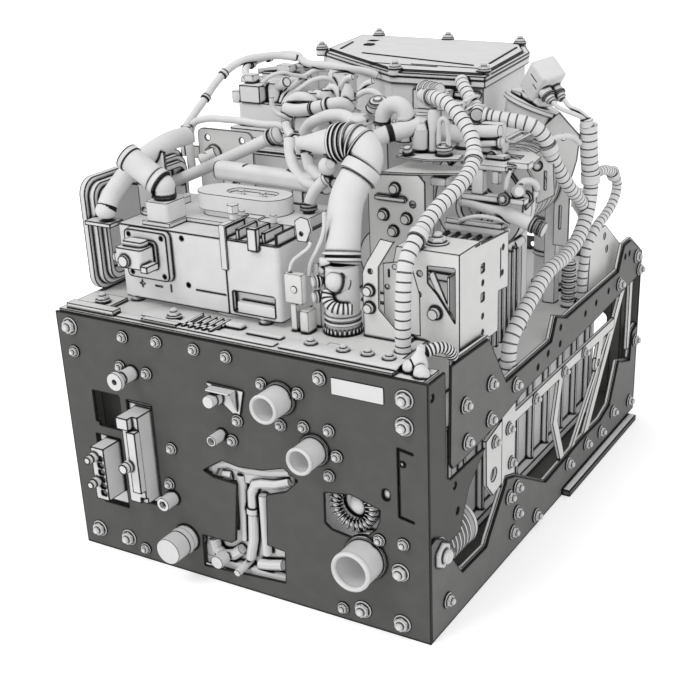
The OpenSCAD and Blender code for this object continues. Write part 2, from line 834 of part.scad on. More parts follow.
// Cover of the converter with the oval service lid
module converter_cover() {
    color(light)
        difference() {
            union() {
                rbox([-236, -300, 525], [-57, -188, 531], 6);
                box([-200, -340, 525], [-150, -290, 531]);
                box([-58 - eps, -300, 525], [40, -188, 541]);
                translate([-75, -253, 530])
                    oval(140, 52, 12);
                translate([-75, -253, 541])
                    oval(156, 64, 25);
                box([-58, -300, 541], [-20, -240, 544]);
                rbox([-194, -338, 531 - eps], [-154, -292, 560], 5);
                box([-232, -288, 531 - eps], [-196, -228, 541]);
                for (x = [-48, 6])
                    translate([x, -300, 541])
                        cylinder(h = 12, r = 5);
            }
            translate([-62, -251, 561])
                oval(84, 30, 6);
        }
    color(light) {
        for (x = [-82, -44])
            translate([x, -251, 561 - eps])
                cylinder(h = 6, r = 5.5, $fn = 6);
        box([-52, -352.5, 480], [-42, -350, 545]);
        box([-52, -352.5, 543], [-42, -292, 546]);
        translate([-47, -322, 546 - eps])
            cylinder(h = 22, r = 6);
        translate([-47, -322, 556])
            cylinder(h = 12, r = 9, $fn = 6);
    }
}

// Square output flange on the converter's face
module output_flange() {
    color(light)
        difference() {
            union() {
                xz(-361, 11)
                    translate([-181, 486])
                        rrect(78, 74, 8);
                xz(-368, 8)
                    translate([-184, 488])
                        rrect(48, 42, 6);
            }
            for (x = [-211, -151], z = [457, 515])
                rod([x, -370, z], [x, -357, z], 3);
        }
}

// High voltage plug with its locking lever
module output_plug() {
    color(light) {
        rbox([-208, -398, 476], [-160, -368, 506], 6);
        rbox([-202, -388, 505], [-166, -369, 514], 5);
        box([-215, -392, 480], [-208 + eps, -378, 496]);
        box([-160 - eps, -402, 474], [-148, -376, 484]);
        rod([-222, -384, 486], [-210, -384, 486], 6);
        rod([-190, -404, 488], [-190, -396, 488], 9);
    }
}

// Rounded duct over the bus bars, behind the oval lid
module busbar_duct() {
    color(light)
        difference() {
            translate([-74, -194, 541])
                rotate([0, 0, -3])
                    union() {
                        translate([-94, 0, 34])
                            rotate([90, 0, 90])
                                linear_extrude(188)
                                    rrect(26, 28, 10);
                        translate([-80, -8, -15.5])
                            cube([20, 16, 40]);
                        translate([50, -8, 0.2])
                            cube([20, 16, 24]);
                    }
            box([-170, -230, 400], [80, -150, 541]);
            translate([-74, -194, 541])
                rotate([0, 0, -3])
                    translate([-40, -20, 46])
                        cube([2, 40, 4]);
        }
}

// Pan-shaped left cover with stepped flanges
module left_cover() {
    color(light)
        difference() {
            union() {
                yz(-xi, 10)
                    translate([-227, 494])
                        rrect(240, 176, 26);
                yz(-xi + 9, 12)
                    translate([-227, 494])
                        rrect(224, 160, 22);
                yz(-xi + 20, 10)
                    translate([-227, 494])
                        rrect(206, 144, 18);
                box([-282, -262, rail_top], [-243, -258, 560]);
                box([-290, -262, rail_top], [-281, -240, 440]);
                box([-256, -262, 545], [-212, -258, 614]);
                box([-295, -360, 518], [-246, -330, 524.7]);
            }
            rod([-240.2, -288, 604.1], [-225.8, -222, 629.9], 15.8);
            yz(-xi + 5, 36)
                translate([-227, 494])
                    rrect(190, 126, 14);
            for (z = [426, 519])
                rod([-262, -264, z], [-262, -250, z], 4);
        }
}

// Capped stub pipe on a ribbed socket
module breather_stub() {
    color(light) {
        rod([-232, -318, 616], [-178, -316, 582], 19);
        rod([-236, -318, 618.5], [-228, -318, 613.5], 20.5);
        rod([-188, -317, 589], [-178, -316, 582.8], 20.5);
        translate([-174, -315, 560.3])
            cylinder(h = 20, r = 15);
        translate([-174, -315, 580])
            sphere(r = 16.5);
        translate([-174, -315, 563])
            cylinder(h = 4, r = 17.5);
    }
}

module intake_hose() {
    color(light)
        sweep(route_intake, 15, [1, -1, 0]);
}

// Thin sensing tubes above the left side
module thin_tubes() {
    color(light) {
        pipe(route_tube, 5.5);
        pipe([[-287, -98, 617], [-272, -100, 622], [-99, -100, 625], [-72, -90, 612], [-76, -64, 598],
            [-96, -54, 590], [-96, -54, 575.3]], 6);
        pipe([[-287, -98, 617], [-288, -97, 600], [-290, -97, 545]], 5);
        rod([-288, -97, 596], [-288.3, -97, 588], 7.5);
    }
}

// Upright plate that carries the tubes, with a two-stage fitting
module tube_plate() {
    color(light)
        difference() {
            union() {
                xz(-94, 4)
                    translate([-223, 545])
                        rrect(108, 134, 12);
                xz(-94, 4)
                    translate([-277, rail_top])
                        square([108, 120]);
                box([-298, -91.7, 560], [-270, -88, 580]);
                rod([-246, -94 + eps, 572], [-246, -104, 572], 13);
                rod([-246, -104 + eps, 572], [-246, -120, 570], 9);
                rod([-256, -120, 566], [-232, -108, 578], 9);
            }
            for (x = [-258, -190])
                rod([x, -96, 597], [x, -88, 597], 5);
        }
}

// Cast air duct: a cone that grows into the hose clamp, fed by a bent pipe
module air_duct() {
    color(light)
        difference() {
            union() {
                translate([12, -225, 640])
                    rotate([0, 84, 0])
                        cylinder(h = 72, r1 = 9, r2 = hose_r + 1);
                translate([12, -225, 640])
                    sphere(r = 10);
                pipe([[12, -224, 640], [-14, -190, 622], [-30, -130, 600], [-36, -60, 593],
                    [-50, 0, 593], [-79.7, 0, 593]], 9);
                pipe([[170, -18, 604.3], [170, -18, 620], [112, -62, 640], [76, -92, 630],
                    [44, -150, 618], [14, -214, 634]], 13);
            }
            translate([100, -225, 600])
                cube([40, 100, 100]);
        }
    color(light)
        pipe([[10, -214, 626], [16, -216, 604], [34, -222, 594], [70, -236, 590]], 8);
}

// Main air hose: a tight elbow and a long straight run down to the housing
module air_hose() {
    color(light)
        pipe([[83.9, -225, 647.56], [121, -225, 651.4], [120, -230, 618], [120, -304, 496]], hose_r - 1);
}

module ring_clamp(a, b, r, inner) {
    d = b - a;
    translate(a)
        rotate([0, acos(d[2] / norm(d)), atan2(d[1], d[0])])
            difference() {
                cylinder(h = norm(d), r = r);
                translate([0, 0, -1])
                    cylinder(h = norm(d) + 2, r = inner);
            }
}

// Cast hose housing under the main air hose
module hose_housing() {
    color(light) {
        rod([120, -316, rail_top + 1], [120, -316, 474], 26);
        rod([120, -316, 450], [120, -316, 468], 30);
        rod([120, -319.9, 469.9], [120, -304.3, 495.5], 20);
        rod([120, -316, 436], [84, -322, 436], 15);
        rod([120, -316, 446], [146, -330, 446], 13);
        rod([120, -316, 425], [120, -352, 425], 13);
        rbox([82, -352, rail_top + 0.3], [156, -278, rail_top + 9], 8);
        rbox([86, -346, rail_top + 8], [152, -284, rail_top + 18], 12);
        for (i = [0 : 2])
            box([92 + i * 16, -342, rail_top + 17], [98 + i * 16, -290, rail_top + 34]);
        box([47, -352, 440], [78, -340, 486]);
        box([45.5, -345, 430], [60, -330, 500]);
        rod([90, -336, 475], [90, -310, 475], 9);
        rod([90, -338, 453], [90, -310, 453], 9);
        rod([56, -336, 446], [92, -330, 446], 6);
    }
}

// Upright bracket beside the main air hose
module front_bracket() {
    color(light)
        difference() {
            union() {
                xz(-322, 4)
                    polygon([[162, rail_top], [162, 496], [168, 510], [192, 548], [213, 546],
                        [188, 507], [187, 447], [232, rail_top]]);
                box([162, -322, rail_top], [232, -304, rail_top + 4]);
                yz(162, 4)
                    polygon([[-322, rail_top], [-322, 490], [-290, rail_top]]);
            }
            for (p = [[175, 500], [218, 412]])
                rod([p[0], -323, p[1]], [p[0], -317, p[1]], 3.4);
        }
    color(light)
        for (z = [448, 473]) {
            rod([173, -322 + eps, z], [173, -324, z], 9);
            rod([173, -324 + eps, z], [173, -331, z], 7);
        }
}

// Bent bracket of the electronics: front sheet with a window, right sheet, top fold
module electronics_bracket() {
    color(light)
        difference() {
            union() {
                xz(-302, 3)
                    polygon([[246 - 56, rail_top], [190, 470], [205, 534], [300, 534],
                        [300, rail_top - 20], [254, rail_top - 20], [254, rail_top]]);
                yz(297, 3)
                    polygon([[-302, 384], [-302, 534], [-145, 524], [-145, 440], [-178, 444],
                        [-179, 384]]);
                box([205, -302, 531], [300, -236, 534]);
                box([205, -239, 521], [300, -236, 534]);
            }
            xz(-304, 7)
                polygon([[252, 512], [293, 514], [293, 436], [266, 474], [252, 488]]);
            for (p = [[240, 500], [238, 470], [212, 488], [222, 506]])
                rod([p[0], -304, p[1]], [p[0], -296, p[1]], 4);
            translate([250, -268, 520])
                cylinder(h = 20, r = 5 + bolt_gap);
            for (p = [[-230, 494], [-230, 452]])
                yz(296, 6)
                    translate([p[0], p[1]])
                        square([12, 12], center = true);
            for (p = [[-230, 473], [-230, 424], [-230, 400], [-163, 505], [-165, 468]])
                yz(296, 6)
                    translate([p[0], p[1]])
                        circle(r = 4);
            yz(296, 6)
                translate([-172, 462])
                    square([1.6, 44]);
        }
    color(light) {
        xz(-299.5, 3)
            polygon([[252, 500], [260, 506], [294, 430], [286, 424]]);
        box([280, -299.2, 405], [284, -262, 500]);
        rod([264, -302 + eps, 448], [264, -305, 448], 10);
        rod([264, -305 + eps, 448], [264, -313, 448], 8);
    }
}

// Finned drive electronics of the compressor
module inverter_block() {
    color(light)
        difference() {
            union() {
                box([150, -160, tray_top + 0.3], [270, -60, 470]);
                for (i = [0 : 5])
                    box([268, -156 + i * 17, 340], [281, -150 + i * 17, 474]);
                for (i = [0 : 6])
                    box([160 + i * 18, -160, 469], [165 + i * 18, -60, 484]);
                box([150, -163, 440], [270, -60, 452]);
            }
            box([158, -152, tray_top + 7], [262, -68, 462]);
        }
}

// Upright bracket behind the main air hose
module rear_bracket() {
    color(light)
        difference() {
            union() {
                xz(-170, 3)
                    polygon([[86, rail_top + 0.3], [86, 575], [96, 590], [170, 596], [180, 586],
                        [180, 520], [150, 500], [150, rail_top + 0.3]]);
                box([100, -176, 555], [150, -170 + eps, 561]);
                box([86, -200, rail_top + 0.3], [150, -167, rail_top + 4]);
                for (p = [[132, 573], [112, 532], [150, 530], [128, 509]]) {
                    rod([p[0], -170 + eps, p[1]], [p[0], -172, p[1]], 9);
                    rod([p[0], -172 + eps, p[1]], [p[0], -178, p[1]], 7);
                }
            }
            rod([160, -175, 552], [160, -160, 552], 5);
        }
}

// Membrane humidifier: the large box at the left rear
module humidifier() {
    color(light)
        difference() {
            union() {
                rbox([-245, -70, tray_top], [-90, 400, 572], 14);
                box([-248, -60, 470], [-87, -48, 575]);
                box([-248, 60, 470], [-87, 72, 575]);
                box([-248, 180, 470], [-87, 192, 575]);
                translate([-168, 20, 571])
                    cylinder(h = 14, r = 30);
            }
            rbox([-239, -64, tray_top + 6], [-96, 394, 566], 10);
        }
}

// Valve and sensor block on the humidifier, with its plugs
module valve_block() {
    color(light) {
        rbox([-262, -30, 586], [-80, 80, 600], 8);
        rbox([-255, -10, 600 - eps], [-150, 70, 640], 8);
        box([-262, 10, 612], [-222, 40, 654]);
        box([-246, -14, 640 - eps], [-206, 30, 668]);
        rbox([-140, -20, 600 - eps], [-92, 60, 628], 8);
        rod([-178, 36, 632], [-96, 36, 622], 12);
        rod([-178, 36, 632], [-168, 36, 631], 15);
        rod([-260, 62, 660], [-200, 62, 664], 9);
        rod([-200, 62, 664], [-150, 50, 676], 7);
        rod([-190, 10, 640], [-190, 10, 672], 12);
        rod([-190, 10, 664], [-160, 0, 676], 8);
        rbox([-250, 56, 639], [-190, 90, 676], 6);
        rod([-120, 20, 627], [-120, 20, 660], 14);
        rod([-120, 20, 654], [-78, 10, 654], 9);
        rod([-88, 10, 640], [-88, 10, 668], 12);
        rod([-60, 26, 618], [-60, 26, 652], 11);
        rod([-92, 26, 618], [-40, 26, 618], 10);
        rod([-40, 26, 618], [-16, 20, 640], 9);
        rod([-168, 20, 585.2], [-168, 20, 588], 26);
    }
}

// Control valve on its post, with a round sensor and a ribbed elbow
module control_valve() {
    color(light) {
        box([92, -12, tray_top + 0.3], [112, 12, 586]);
        rbox([58, -26, 585], [142, 24, 594], 6);
        translate([88, 0, 594 - eps])
            cylinder(h = 44, r = 16);
        translate([88, 0, 606])
            cylinder(h = 4, r = 18);
        translate([88, 0, 636])
            cylinder(h = 8, r = 12);
        rbox([70, 6, 594 - eps], [106, 22, 650], 4);
        translate([127, 0, 594 - eps]) {
            cylinder(h = 2.4, r = 13);
            cylinder(h = 9, r = 9, $fn = 6);
        }
        rbox([74, 8, 649], [118, 40, 672], 6);
        for (i = [0 : 3])
            rod([78 + i * 8, 24, 676], [82 + i * 8, 22, 676], 15 - i);
        rod([79, 16.5, 669.6], [114.76, -9.82, 667.02], 10);
    }
}

// Gusset plate of the right rear corner with its raised foot
module rear_gusset() {
    color(light)
        difference() {
            union() {
                yz(286, 4)
                    polygon([[214, tray_top + 0.3], [222, 416], [290, 412], [372, 355],
                        [372, tray_top + 0.3]]);
                box([246, 214, tray_top + 0.3], [287, 400, tray_top + 5]);
                rbox([250, 262, tray_top + 4], [286.2, 312, 330], 4);
                rbox([250, 340, tray_top + 4], [286.2, 396, 318], 4);
                translate([268, 287, 330 - eps]) {
                    cylinder(h = 2.5, r = 14);
                    cylinder(h = 10, r = 9, $fn = 6);
                }
                translate([268, 370, 318 - eps]) {
                    cylinder(h = 2.5, r = 14);
                    cylinder(h = 10, r = 9, $fn = 6);
                }
                translate([276, 158, tray_top + 0.3])
                    cylinder(h = 80, r = 10);
                for (i = [0 : 6])
                    translate([276, 158, 316 + i * 10])
                        cylinder(h = 4, r = 12);
                box([270, 158, tray_top + 0.3], [280, 220, tray_top + 5]);
            }
            for (p = [[287, 393], [301, 366]])
                rod([280, p[0], p[1]], [300, p[0], p[1]], 6);
        }
}

// Compressor: ribbed motor housing, bored for the rotor
module compressor_housing() {
    color(light)
        translate([200, 0, 520])
            rotate([-90, 0, 0])
                difference() {
                    union() {
                        cylinder(h = 205, r = motor_r);
                        for (i = [0 : 8])
                            translate([0, 0, 20 + i * 20])
                                cylinder(h = 5, r = motor_r + 5);
                        cylinder(h = 14, r = 74);
                        for (s = [-1, 1])
                            translate([s * 40 - 10, 40, 20])
                                cube([20, 215 - 40, 20]);
                        for (s = [-1, 1])
                            translate([s * 40 - 10, 40, 160])
                                cube([20, 215 - 40, 20]);
                    }
                    translate([0, 0, 20])
                        cylinder(h = 170, r = motor_r - 8);
                    translate([0, 0, -1])
                        cylinder(h = 30, r = shaft_r + shaft_gap);
                    translate([0, 0, 185])
                        cylinder(h = 12, r = shaft_r + shaft_gap);
                }
}

// Volute cover of the compressor with its inlet and outlet
module compressor_cover() {
    color(light)
        translate([200, 0, 520])
            difference() {
                union() {
                    rotate([90, 0, 0])
                        cylinder(h = 34, r = 74);
                    rotate([90, 0, 0])
                        cylinder(h = 52, r = 30);
                    translate([-30, -18, 0])
                        cylinder(h = 84, r = 17);
                    for (a = [15 : 60 : 345])
                        rotate([90, 0, 0])
                            translate([80 * cos(a), 80 * sin(a), 0])
                                cylinder(h = 34, r = 8);
                }
                translate([0, -28, 0])
                    rotate([-90, 0, 0])
                        cylinder(h = 29, r = 60);
                rotate([90, 0, 0])
                    cylinder(h = 60, r = 20);
                translate([-30, -16, 0])
                    cylinder(h = 100, r = 11);
            }
}

// Compressor rotor: shaft, magnet drum and bladed wheel
module compressor_rotor() {
    color(light)
        translate([200, 0, 520])
            rotate([-90, 0, 0]) {
                translate([0, 0, -24])
                    cylinder(h = 220, r = shaft_r);
                translate([0, 0, 40])
                    cylinder(h = 120, r = motor_r - 14);
                translate([0, 0, -5])
                    cylinder(h = 3, r = 52);
                for (i = [0 : blades - 1])
                    rotate([0, 0, i * 360 / blades])
                        translate([shaft_r - 1, -1, -20])
                            cube([44, 2, 16]);
            }
}

// Coolant pump with its bored body
module pump_body() {
    color(light)
        translate([20, 30, 400])
            rotate([-90, 0, 0])
                difference() {
                    union() {
                        cylinder(h = 110, r = 42);
                        cylinder(h = 12, r = 54);
                        translate([-36, 30, 10])
                            cube([72, 65, 90]);
                    }
                    translate([0, 0, 20])
                        cylinder(h = 80, r = 34);
                    translate([0, 0, -1])
                        cylinder(h = 30, r = shaft_r + shaft_gap);
                }
}

module pump_cover() {
    color(light)
        translate([20, 30, 400])
            difference() {
                union() {
                    rotate([90, 0, 0])
                        cylinder(h = 30, r = 54);
                    rotate([90, 0, 0])
                        cylinder(h = 70, r = 18);
                    translate([34, -15, 0])
                        cylinder(h = 90, r = 13);
                }
                translate([0, -24, 0])
                    rotate([-90, 0, 0])
                        cylinder(h = 25, r = 44);
                rotate([90, 0, 0])
                    cylinder(h = 80, r = 13);
                translate([34, -15, 10])
                    cylinder(h = 100, r = 8);
            }
}

module pump_rotor() {
    color(light)
        translate([20, 30, 400])
            rotate([-90, 0, 0]) {
                translate([0, 0, -20])
                    cylinder(h = 110, r = shaft_r);
                translate([0, 0, 30])
                    cylinder(h = 56, r = 28);
                translate([0, 0, -5])
                    cylinder(h = 3, r = 38);
                for (i = [0 : 5])
                    rotate([0, 0, i * 60])
                        translate([shaft_r - 1, -1, -17])
                            cube([31, 2, 13]);
            }
}

module lid_outline() {
    polygon([[-262, 416], [78, 416], [118, 345], [146, 104], [-20, 92], [-139, 169], [-238, 236]]);
}

module lid_inner(g) {
    polygon([[-262 + g, 416 - g], [78 - g, 416 - g], [118 - g, 345 - g], [146 - g, 104 + g],
        [-20, 92 + g], [-139 + g / 2, 169 + g], [-238 + g, 236 + g]]);
}

// Housing of the relays and fuses, under the top cover
module relay_housing() {
    color(light)
        difference() {
            union() {
                translate([0, 0, 600])
                    linear_extrude(76)
                        lid_inner(6);
                translate([0, 0, 668])
                    linear_extrude(10.7)
                        lid_inner(1);
                box([-84, 150, tray_top], [-60, 400, 601]);
                box([60, 230, tray_top], [84, 400, 601]);
                box([-84, 380, tray_top], [84, 400, 601]);
                box([20, 96, 612], [56, 105, 660]);
                box([70, 97, 615], [110, 106, 650]);
                for (i = [0 : 3])
                    box([92, 99, 604 + i * 16], [136, 111, 612 + i * 16]);
            }
            translate([0, 0, 606])
                linear_extrude(80)
                    lid_inner(12);
        }
}

// Cast top cover with a raised middle and lugs for its bolts
module top_cover() {
    color(light)
        difference() {
            union() {
                translate([0, 0, 679])
                    linear_extrude(7)
                        lid_outline();
                translate([0, 0, 685.9])
                    linear_extrude(4)
                        lid_inner(9);
                for (p = lid_points)
                    translate([p[0], p[1], 679])
                        cylinder(h = 11.5, r = 11);
            }
            for (p = lid_points)
                translate([p[0], p[1], 670])
                    cylinder(h = 30, r = 4 + bolt_gap);
            translate([-205, 340, 686])
                cube([16, 16, 8]);
        }
    color(light)
        for (p = [[60, 120], [-16, 110]])
            box([p[0] - 70, p[1] + 26, 689], [p[0] + 60, p[1] + 27.5, 691]);
}

// Tilted junction box with four cable glands
module junction_box() {
    color(light)
        difference() {
            union() {
                translate([238, 118, 676])
                    rotate([18, 14, 34]) {
                        rbox([-34, -38, -26], [34, 38, 26], 6);
                        rbox([-38, -42, 18], [38, 42, 30], 6);
                        rod([20, -34, -8], [20, -56, -8], 10);
                        rod([-6, -34, -8], [-6, -52, -8], 9);
                        rod([30, 10, -6], [56, 10, -6], 10);
                        rod([30, -16, -6], [52, -16, -6], 9);
                        translate([4, 0, -32])
                            cylinder(h = 9, r = 42);
                    }
                rod([244, 118, 650], [236, 118, 570], 14);
                pipe([[272, 144, 664], [290, 155, 645], [298, 165, 622], [298, 165.9, 607.4]], 8.5);
            }
            translate([200, 0, 520])
                rotate([-90, 0, 0])
                    cylinder(h = 205, r = motor_r + 5.3);
        }
}

// Corrugated conduits, each with its rings drawn as one smooth sweep
module conduits() {
    color(light) {
        sweep(route_a, conduit_r, [1, 1, 0]);
        sweep(route_b, conduit_r, [1, 0, 0]);
        sweep(route_c, conduit_r, [1, 0, 0]);
        sweep(route_d, 8, [1, 1, 0]);
        sweep(route_e, 7, [1, 0, 0]);
    }
}

// Collars, splitters and clamps of the conduits and of the main air hose
module hose_collars() {
    color(light) {
        ring_clamp([120, -294, 512.5], [120, -300, 502.6], hose_r + 3, hose_r - 0.5);
        ring_clamp([120, -242, 598.2], [120, -250, 585], hose_r + 3, hose_r - 0.5);
        ring_clamp([85.4, -225, 647.72], [91.8, -225, 648.39], hose_r + 4, hose_r - 0.5);
        ring_clamp(collar_a[0], collar_a[1], conduit_r + 3.8, conduit_r + 0.9);
        ring_clamp(collar_b[0], collar_b[1], conduit_r + 3.8, conduit_r + 0.9);
        ring_clamp([200, 236, 561], [200, 242, 549], conduit_r + 3.8, conduit_r + 0.9);
        difference() {
            union() {
                rod([298, 179.9, 535], [298, 184.1, 521], conduit_r + 2.2);
                rod([298, 184, 530], [296, 220, 522], 8);
            }
            rod([298, 178, 541.3], [298, 186, 514.7], conduit_r + 0.9);
        }
        rod([164, 4, 643], [198, 4, 643], 13);
        rod([194, 2, 594.3], [194, 2, 640], 6);
    }
}

// Bolts of the front and side plates
module plate_bolts() {
    color(light) {
        for (p = big_front)
            front_bolt(p[0], p[1], 10, 12);
        for (p = small_front)
            front_bolt(p[0], p[1], 8, 8);
        translate([152, yf, 379])
            rotate([90, 0, 0]) {
                cylinder(h = 5, r = 9);
                cylinder(h = 8, r = 6);
            }
        for (p = lower_side)
            side_bolt(p[0], p[1], hw, 10, 10, plate_t + 3);
        for (p = upper_side)
            side_bolt(p[0], p[1], hw, 10, 10, plate_t + 3);
        side_bolt(-392, 130, hw, 10, 22, plate_t + 3);
        for (p = inner_side)
            side_bolt(p[0], p[1], xi, 8, 9, 8);
    }
}

deck_points = [[-256, -384], [115, -386], [168, -388], [205, -386], [238, -386], [-120, -386]];
lid_points = [[-236, 232], [-218, 408], [-72, 408], [72, 408], [132, 128], [-14, 100]];

// Bolts of the deck and of the top cover
module deck_bolts() {
    color(light) {
        for (i = [0 : 5])
            translate([deck_points[i][0], deck_points[i][1], rail_top + (i == 0 ? 8 : i == 5 ? 5 : 0)])
                hexbolt(8, 14, 9);
        for (p = lid_points)
            translate([p[0], p[1], 690.5])
                hexbolt(8, 11, 9);
        translate([250, -268, 534])
            hexbolt(10, 3, 12);
    }
}

base_frame();
front_plate();
side_plate_upper();
side_plate_lower();
side_inner_right();
side_plate_left();
rear_plate();
deck_tray();
top_rails();
nameplate_blank();
stack_case();
cell_stack();
stack_end_plates();
tie_rods();
media_manifold();
air_ports();
coolant_port();
front_fittings();
sensor_bracket();
signal_connector();
power_connector();
pipe_carrier();
hydrogen_pipes();
ribbed_coolant_hose();
stack_bellows();
converter_case();
converter_boards();
converter_cover();
output_flange();
output_plug();
busbar_duct();
left_cover();
breather_stub();
intake_hose();
thin_tubes();
tube_plate();
air_duct();
air_hose();
hose_housing();
front_bracket();
electronics_bracket();
rear_bracket();
inverter_block();
humidifier();
valve_block();
control_valve();
rear_gusset();
compressor_housing();
compressor_cover();
compressor_rotor();
pump_body();
pump_cover();
pump_rotor();
relay_housing();
top_cover();
junction_box();
conduits();
hose_collars();
plate_bolts();
deck_bolts();
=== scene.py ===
import json
import math

import bpy
from mathutils import Matrix, Vector

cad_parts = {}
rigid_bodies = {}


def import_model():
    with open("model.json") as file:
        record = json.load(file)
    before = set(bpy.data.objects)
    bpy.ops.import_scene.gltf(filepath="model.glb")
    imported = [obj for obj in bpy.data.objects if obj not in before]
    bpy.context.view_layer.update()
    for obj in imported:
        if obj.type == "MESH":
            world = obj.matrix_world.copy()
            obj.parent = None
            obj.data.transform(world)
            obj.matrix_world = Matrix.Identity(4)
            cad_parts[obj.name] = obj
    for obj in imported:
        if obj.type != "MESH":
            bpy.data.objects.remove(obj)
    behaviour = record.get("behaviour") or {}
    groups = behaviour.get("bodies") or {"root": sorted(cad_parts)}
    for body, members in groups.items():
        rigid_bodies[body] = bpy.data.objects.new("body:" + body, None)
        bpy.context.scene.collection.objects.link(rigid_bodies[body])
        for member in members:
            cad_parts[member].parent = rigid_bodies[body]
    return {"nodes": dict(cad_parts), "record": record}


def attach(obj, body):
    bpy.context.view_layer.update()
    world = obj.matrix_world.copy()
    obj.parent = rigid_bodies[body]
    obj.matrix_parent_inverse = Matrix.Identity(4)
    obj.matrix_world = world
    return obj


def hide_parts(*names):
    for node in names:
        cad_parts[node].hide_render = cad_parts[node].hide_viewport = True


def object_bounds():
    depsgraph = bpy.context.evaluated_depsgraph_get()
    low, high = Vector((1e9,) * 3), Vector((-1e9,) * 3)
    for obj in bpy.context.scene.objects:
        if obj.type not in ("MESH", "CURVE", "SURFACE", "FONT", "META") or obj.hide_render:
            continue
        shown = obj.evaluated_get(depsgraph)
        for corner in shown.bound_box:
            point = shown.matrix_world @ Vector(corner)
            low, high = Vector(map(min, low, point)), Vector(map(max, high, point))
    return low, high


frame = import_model()
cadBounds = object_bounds()
nodes = frame["nodes"]
mm = 0.001  # the tables of places and sizes are in mm


# Shader maths

class Wire:
    def __init__(self, tree, socket):
        self.tree = tree
        self.socket = socket

    def _op(self, operation, a, b=0.0):
        node = addNode(self.tree, "ShaderNodeMath", {"operation": operation}, {0: a, 1: b})
        return Wire(self.tree, node.outputs[0])

    def __add__(self, other):
        return self._op("ADD", self, other)

    def __radd__(self, other):
        return self._op("ADD", other, self)

    def __rsub__(self, other):
        return self._op("SUBTRACT", other, self)

    def __mul__(self, other):
        return self._op("MULTIPLY", self, other)

    def __rmul__(self, other):
        return self._op("MULTIPLY", other, self)

    def above(self, low, high):  # 0 at low, 1 at high
        node = addNode(self.tree, "ShaderNodeMapRange", {"interpolation_type": "SMOOTHSTEP"},
                       {"Value": self, "From Min": low, "From Max": high, "To Min": 0.0, "To Max": 1.0})
        return Wire(self.tree, node.outputs[0])

    def most(self, other):
        return self._op("MAXIMUM", self, other)


def addNode(tree, kind, settings, values):
    node = tree.nodes.new(kind)
    for key, value in settings.items():
        setattr(node, key, value)
    for key, value in values.items():
        if isinstance(value, Wire):
            tree.links.new(value.socket, node.inputs[key])
        else:
            node.inputs[key].default_value = value
    return node


def linear(hexColour):  # "#dadada" to linear light
    parts = [int(hexColour[i:i + 2], 16) / 255 for i in (1, 3, 5)]
    return tuple(c / 12.92 if c <= 0.04045 else ((c + 0.055) / 1.055) ** 2.4 for c in parts) + (1.0,)


# painted shade: each finish's base colour is darkened towards this near black along outer edges and in
# corners and joints
paintedShade = {
    "colour": "#0e0e0d",
    "paintedCreaseReach": 6.8,  # how far the painted shade of a corner or a joint runs, in mm
    "paintedCreaseSpan": (0.13, 0.31),  # closeness at which that painted shade starts and is full
    "paintedEdgeSpan": (0.09, 0.23),  # the same for the painted shade on an outer edge
    "samples": 8,
}
speckleSet = {
    "scale": 38.0,
    "detail": 3.0,
    "span": (0.35, 0.7),
    "roughness": 0.12,  # how far the roughness varies
    "specular": 0.25,
}


# a finish: the coat's colour with random grain, and painted shade on its edges and in its corners
def makeFinish(name, colour, roughness, paintedEdgeReach, grain=0.02, paintedCreaseReach=paintedShade["paintedCreaseReach"]):
    finish = bpy.data.materials.new(name)
    finish.use_nodes = True
    tree = finish.node_tree
    shader = tree.nodes["Principled BSDF"]
    place = addNode(tree, "ShaderNodeTexCoord", {}, {})
    noise = addNode(tree, "ShaderNodeTexNoise", {},
                    {"Vector": Wire(tree, place.outputs["Object"]),
                     "Scale": speckleSet["scale"], "Detail": speckleSet["detail"]})
    speckle = Wire(tree, noise.outputs[0])
    base = linear(colour)
    # random grain in the coat's own tone
    shade = addNode(tree, "ShaderNodeMix", {"data_type": "RGBA"},
                    {"Factor": speckle.above(*speckleSet["span"]),
                     6: tuple(c * (1 - grain) for c in base[:3]) + (1.0,),
                     7: tuple(min(1.0, c * (1 + grain)) for c in base[:3]) + (1.0,)})
    tinted = Wire(tree, shade.outputs[2])
    # the two occlusion nodes measure how close other surfaces are; below, that closeness is painted into the
    # base colour as shade
    inside = addNode(tree, "ShaderNodeAmbientOcclusion",
                     {"samples": paintedShade["samples"], "inside": True, "only_local": True},
                     {"Distance": paintedEdgeReach * mm})
    outside = addNode(tree, "ShaderNodeAmbientOcclusion", {"samples": paintedShade["samples"]},
                      {"Distance": paintedCreaseReach * mm})
    # painted shade: dark along outer edges, from rays inside the piece, and in corners and joints, from rays
    # outside it
    paintedEdgeMask = (1.0 - Wire(tree, inside.outputs["AO"])).above(*paintedShade["paintedEdgeSpan"])
    paintedCreaseMask = (1.0 - Wire(tree, outside.outputs["AO"])).above(*paintedShade["paintedCreaseSpan"])
    paintedShadeMix = addNode(tree, "ShaderNodeMix", {"data_type": "RGBA"},
                     {"Factor": paintedEdgeMask.most(paintedCreaseMask), 6: tinted, 7: linear(paintedShade["colour"])})
    tree.links.new(paintedShadeMix.outputs[2], shader.inputs["Base Color"])
    spread = speckleSet["roughness"]
    tree.links.new((roughness - spread / 2 + spread * speckle).socket, shader.inputs["Roughness"])
    shader.inputs["Specular IOR Level"].default_value = speckleSet["specular"]
    return finish


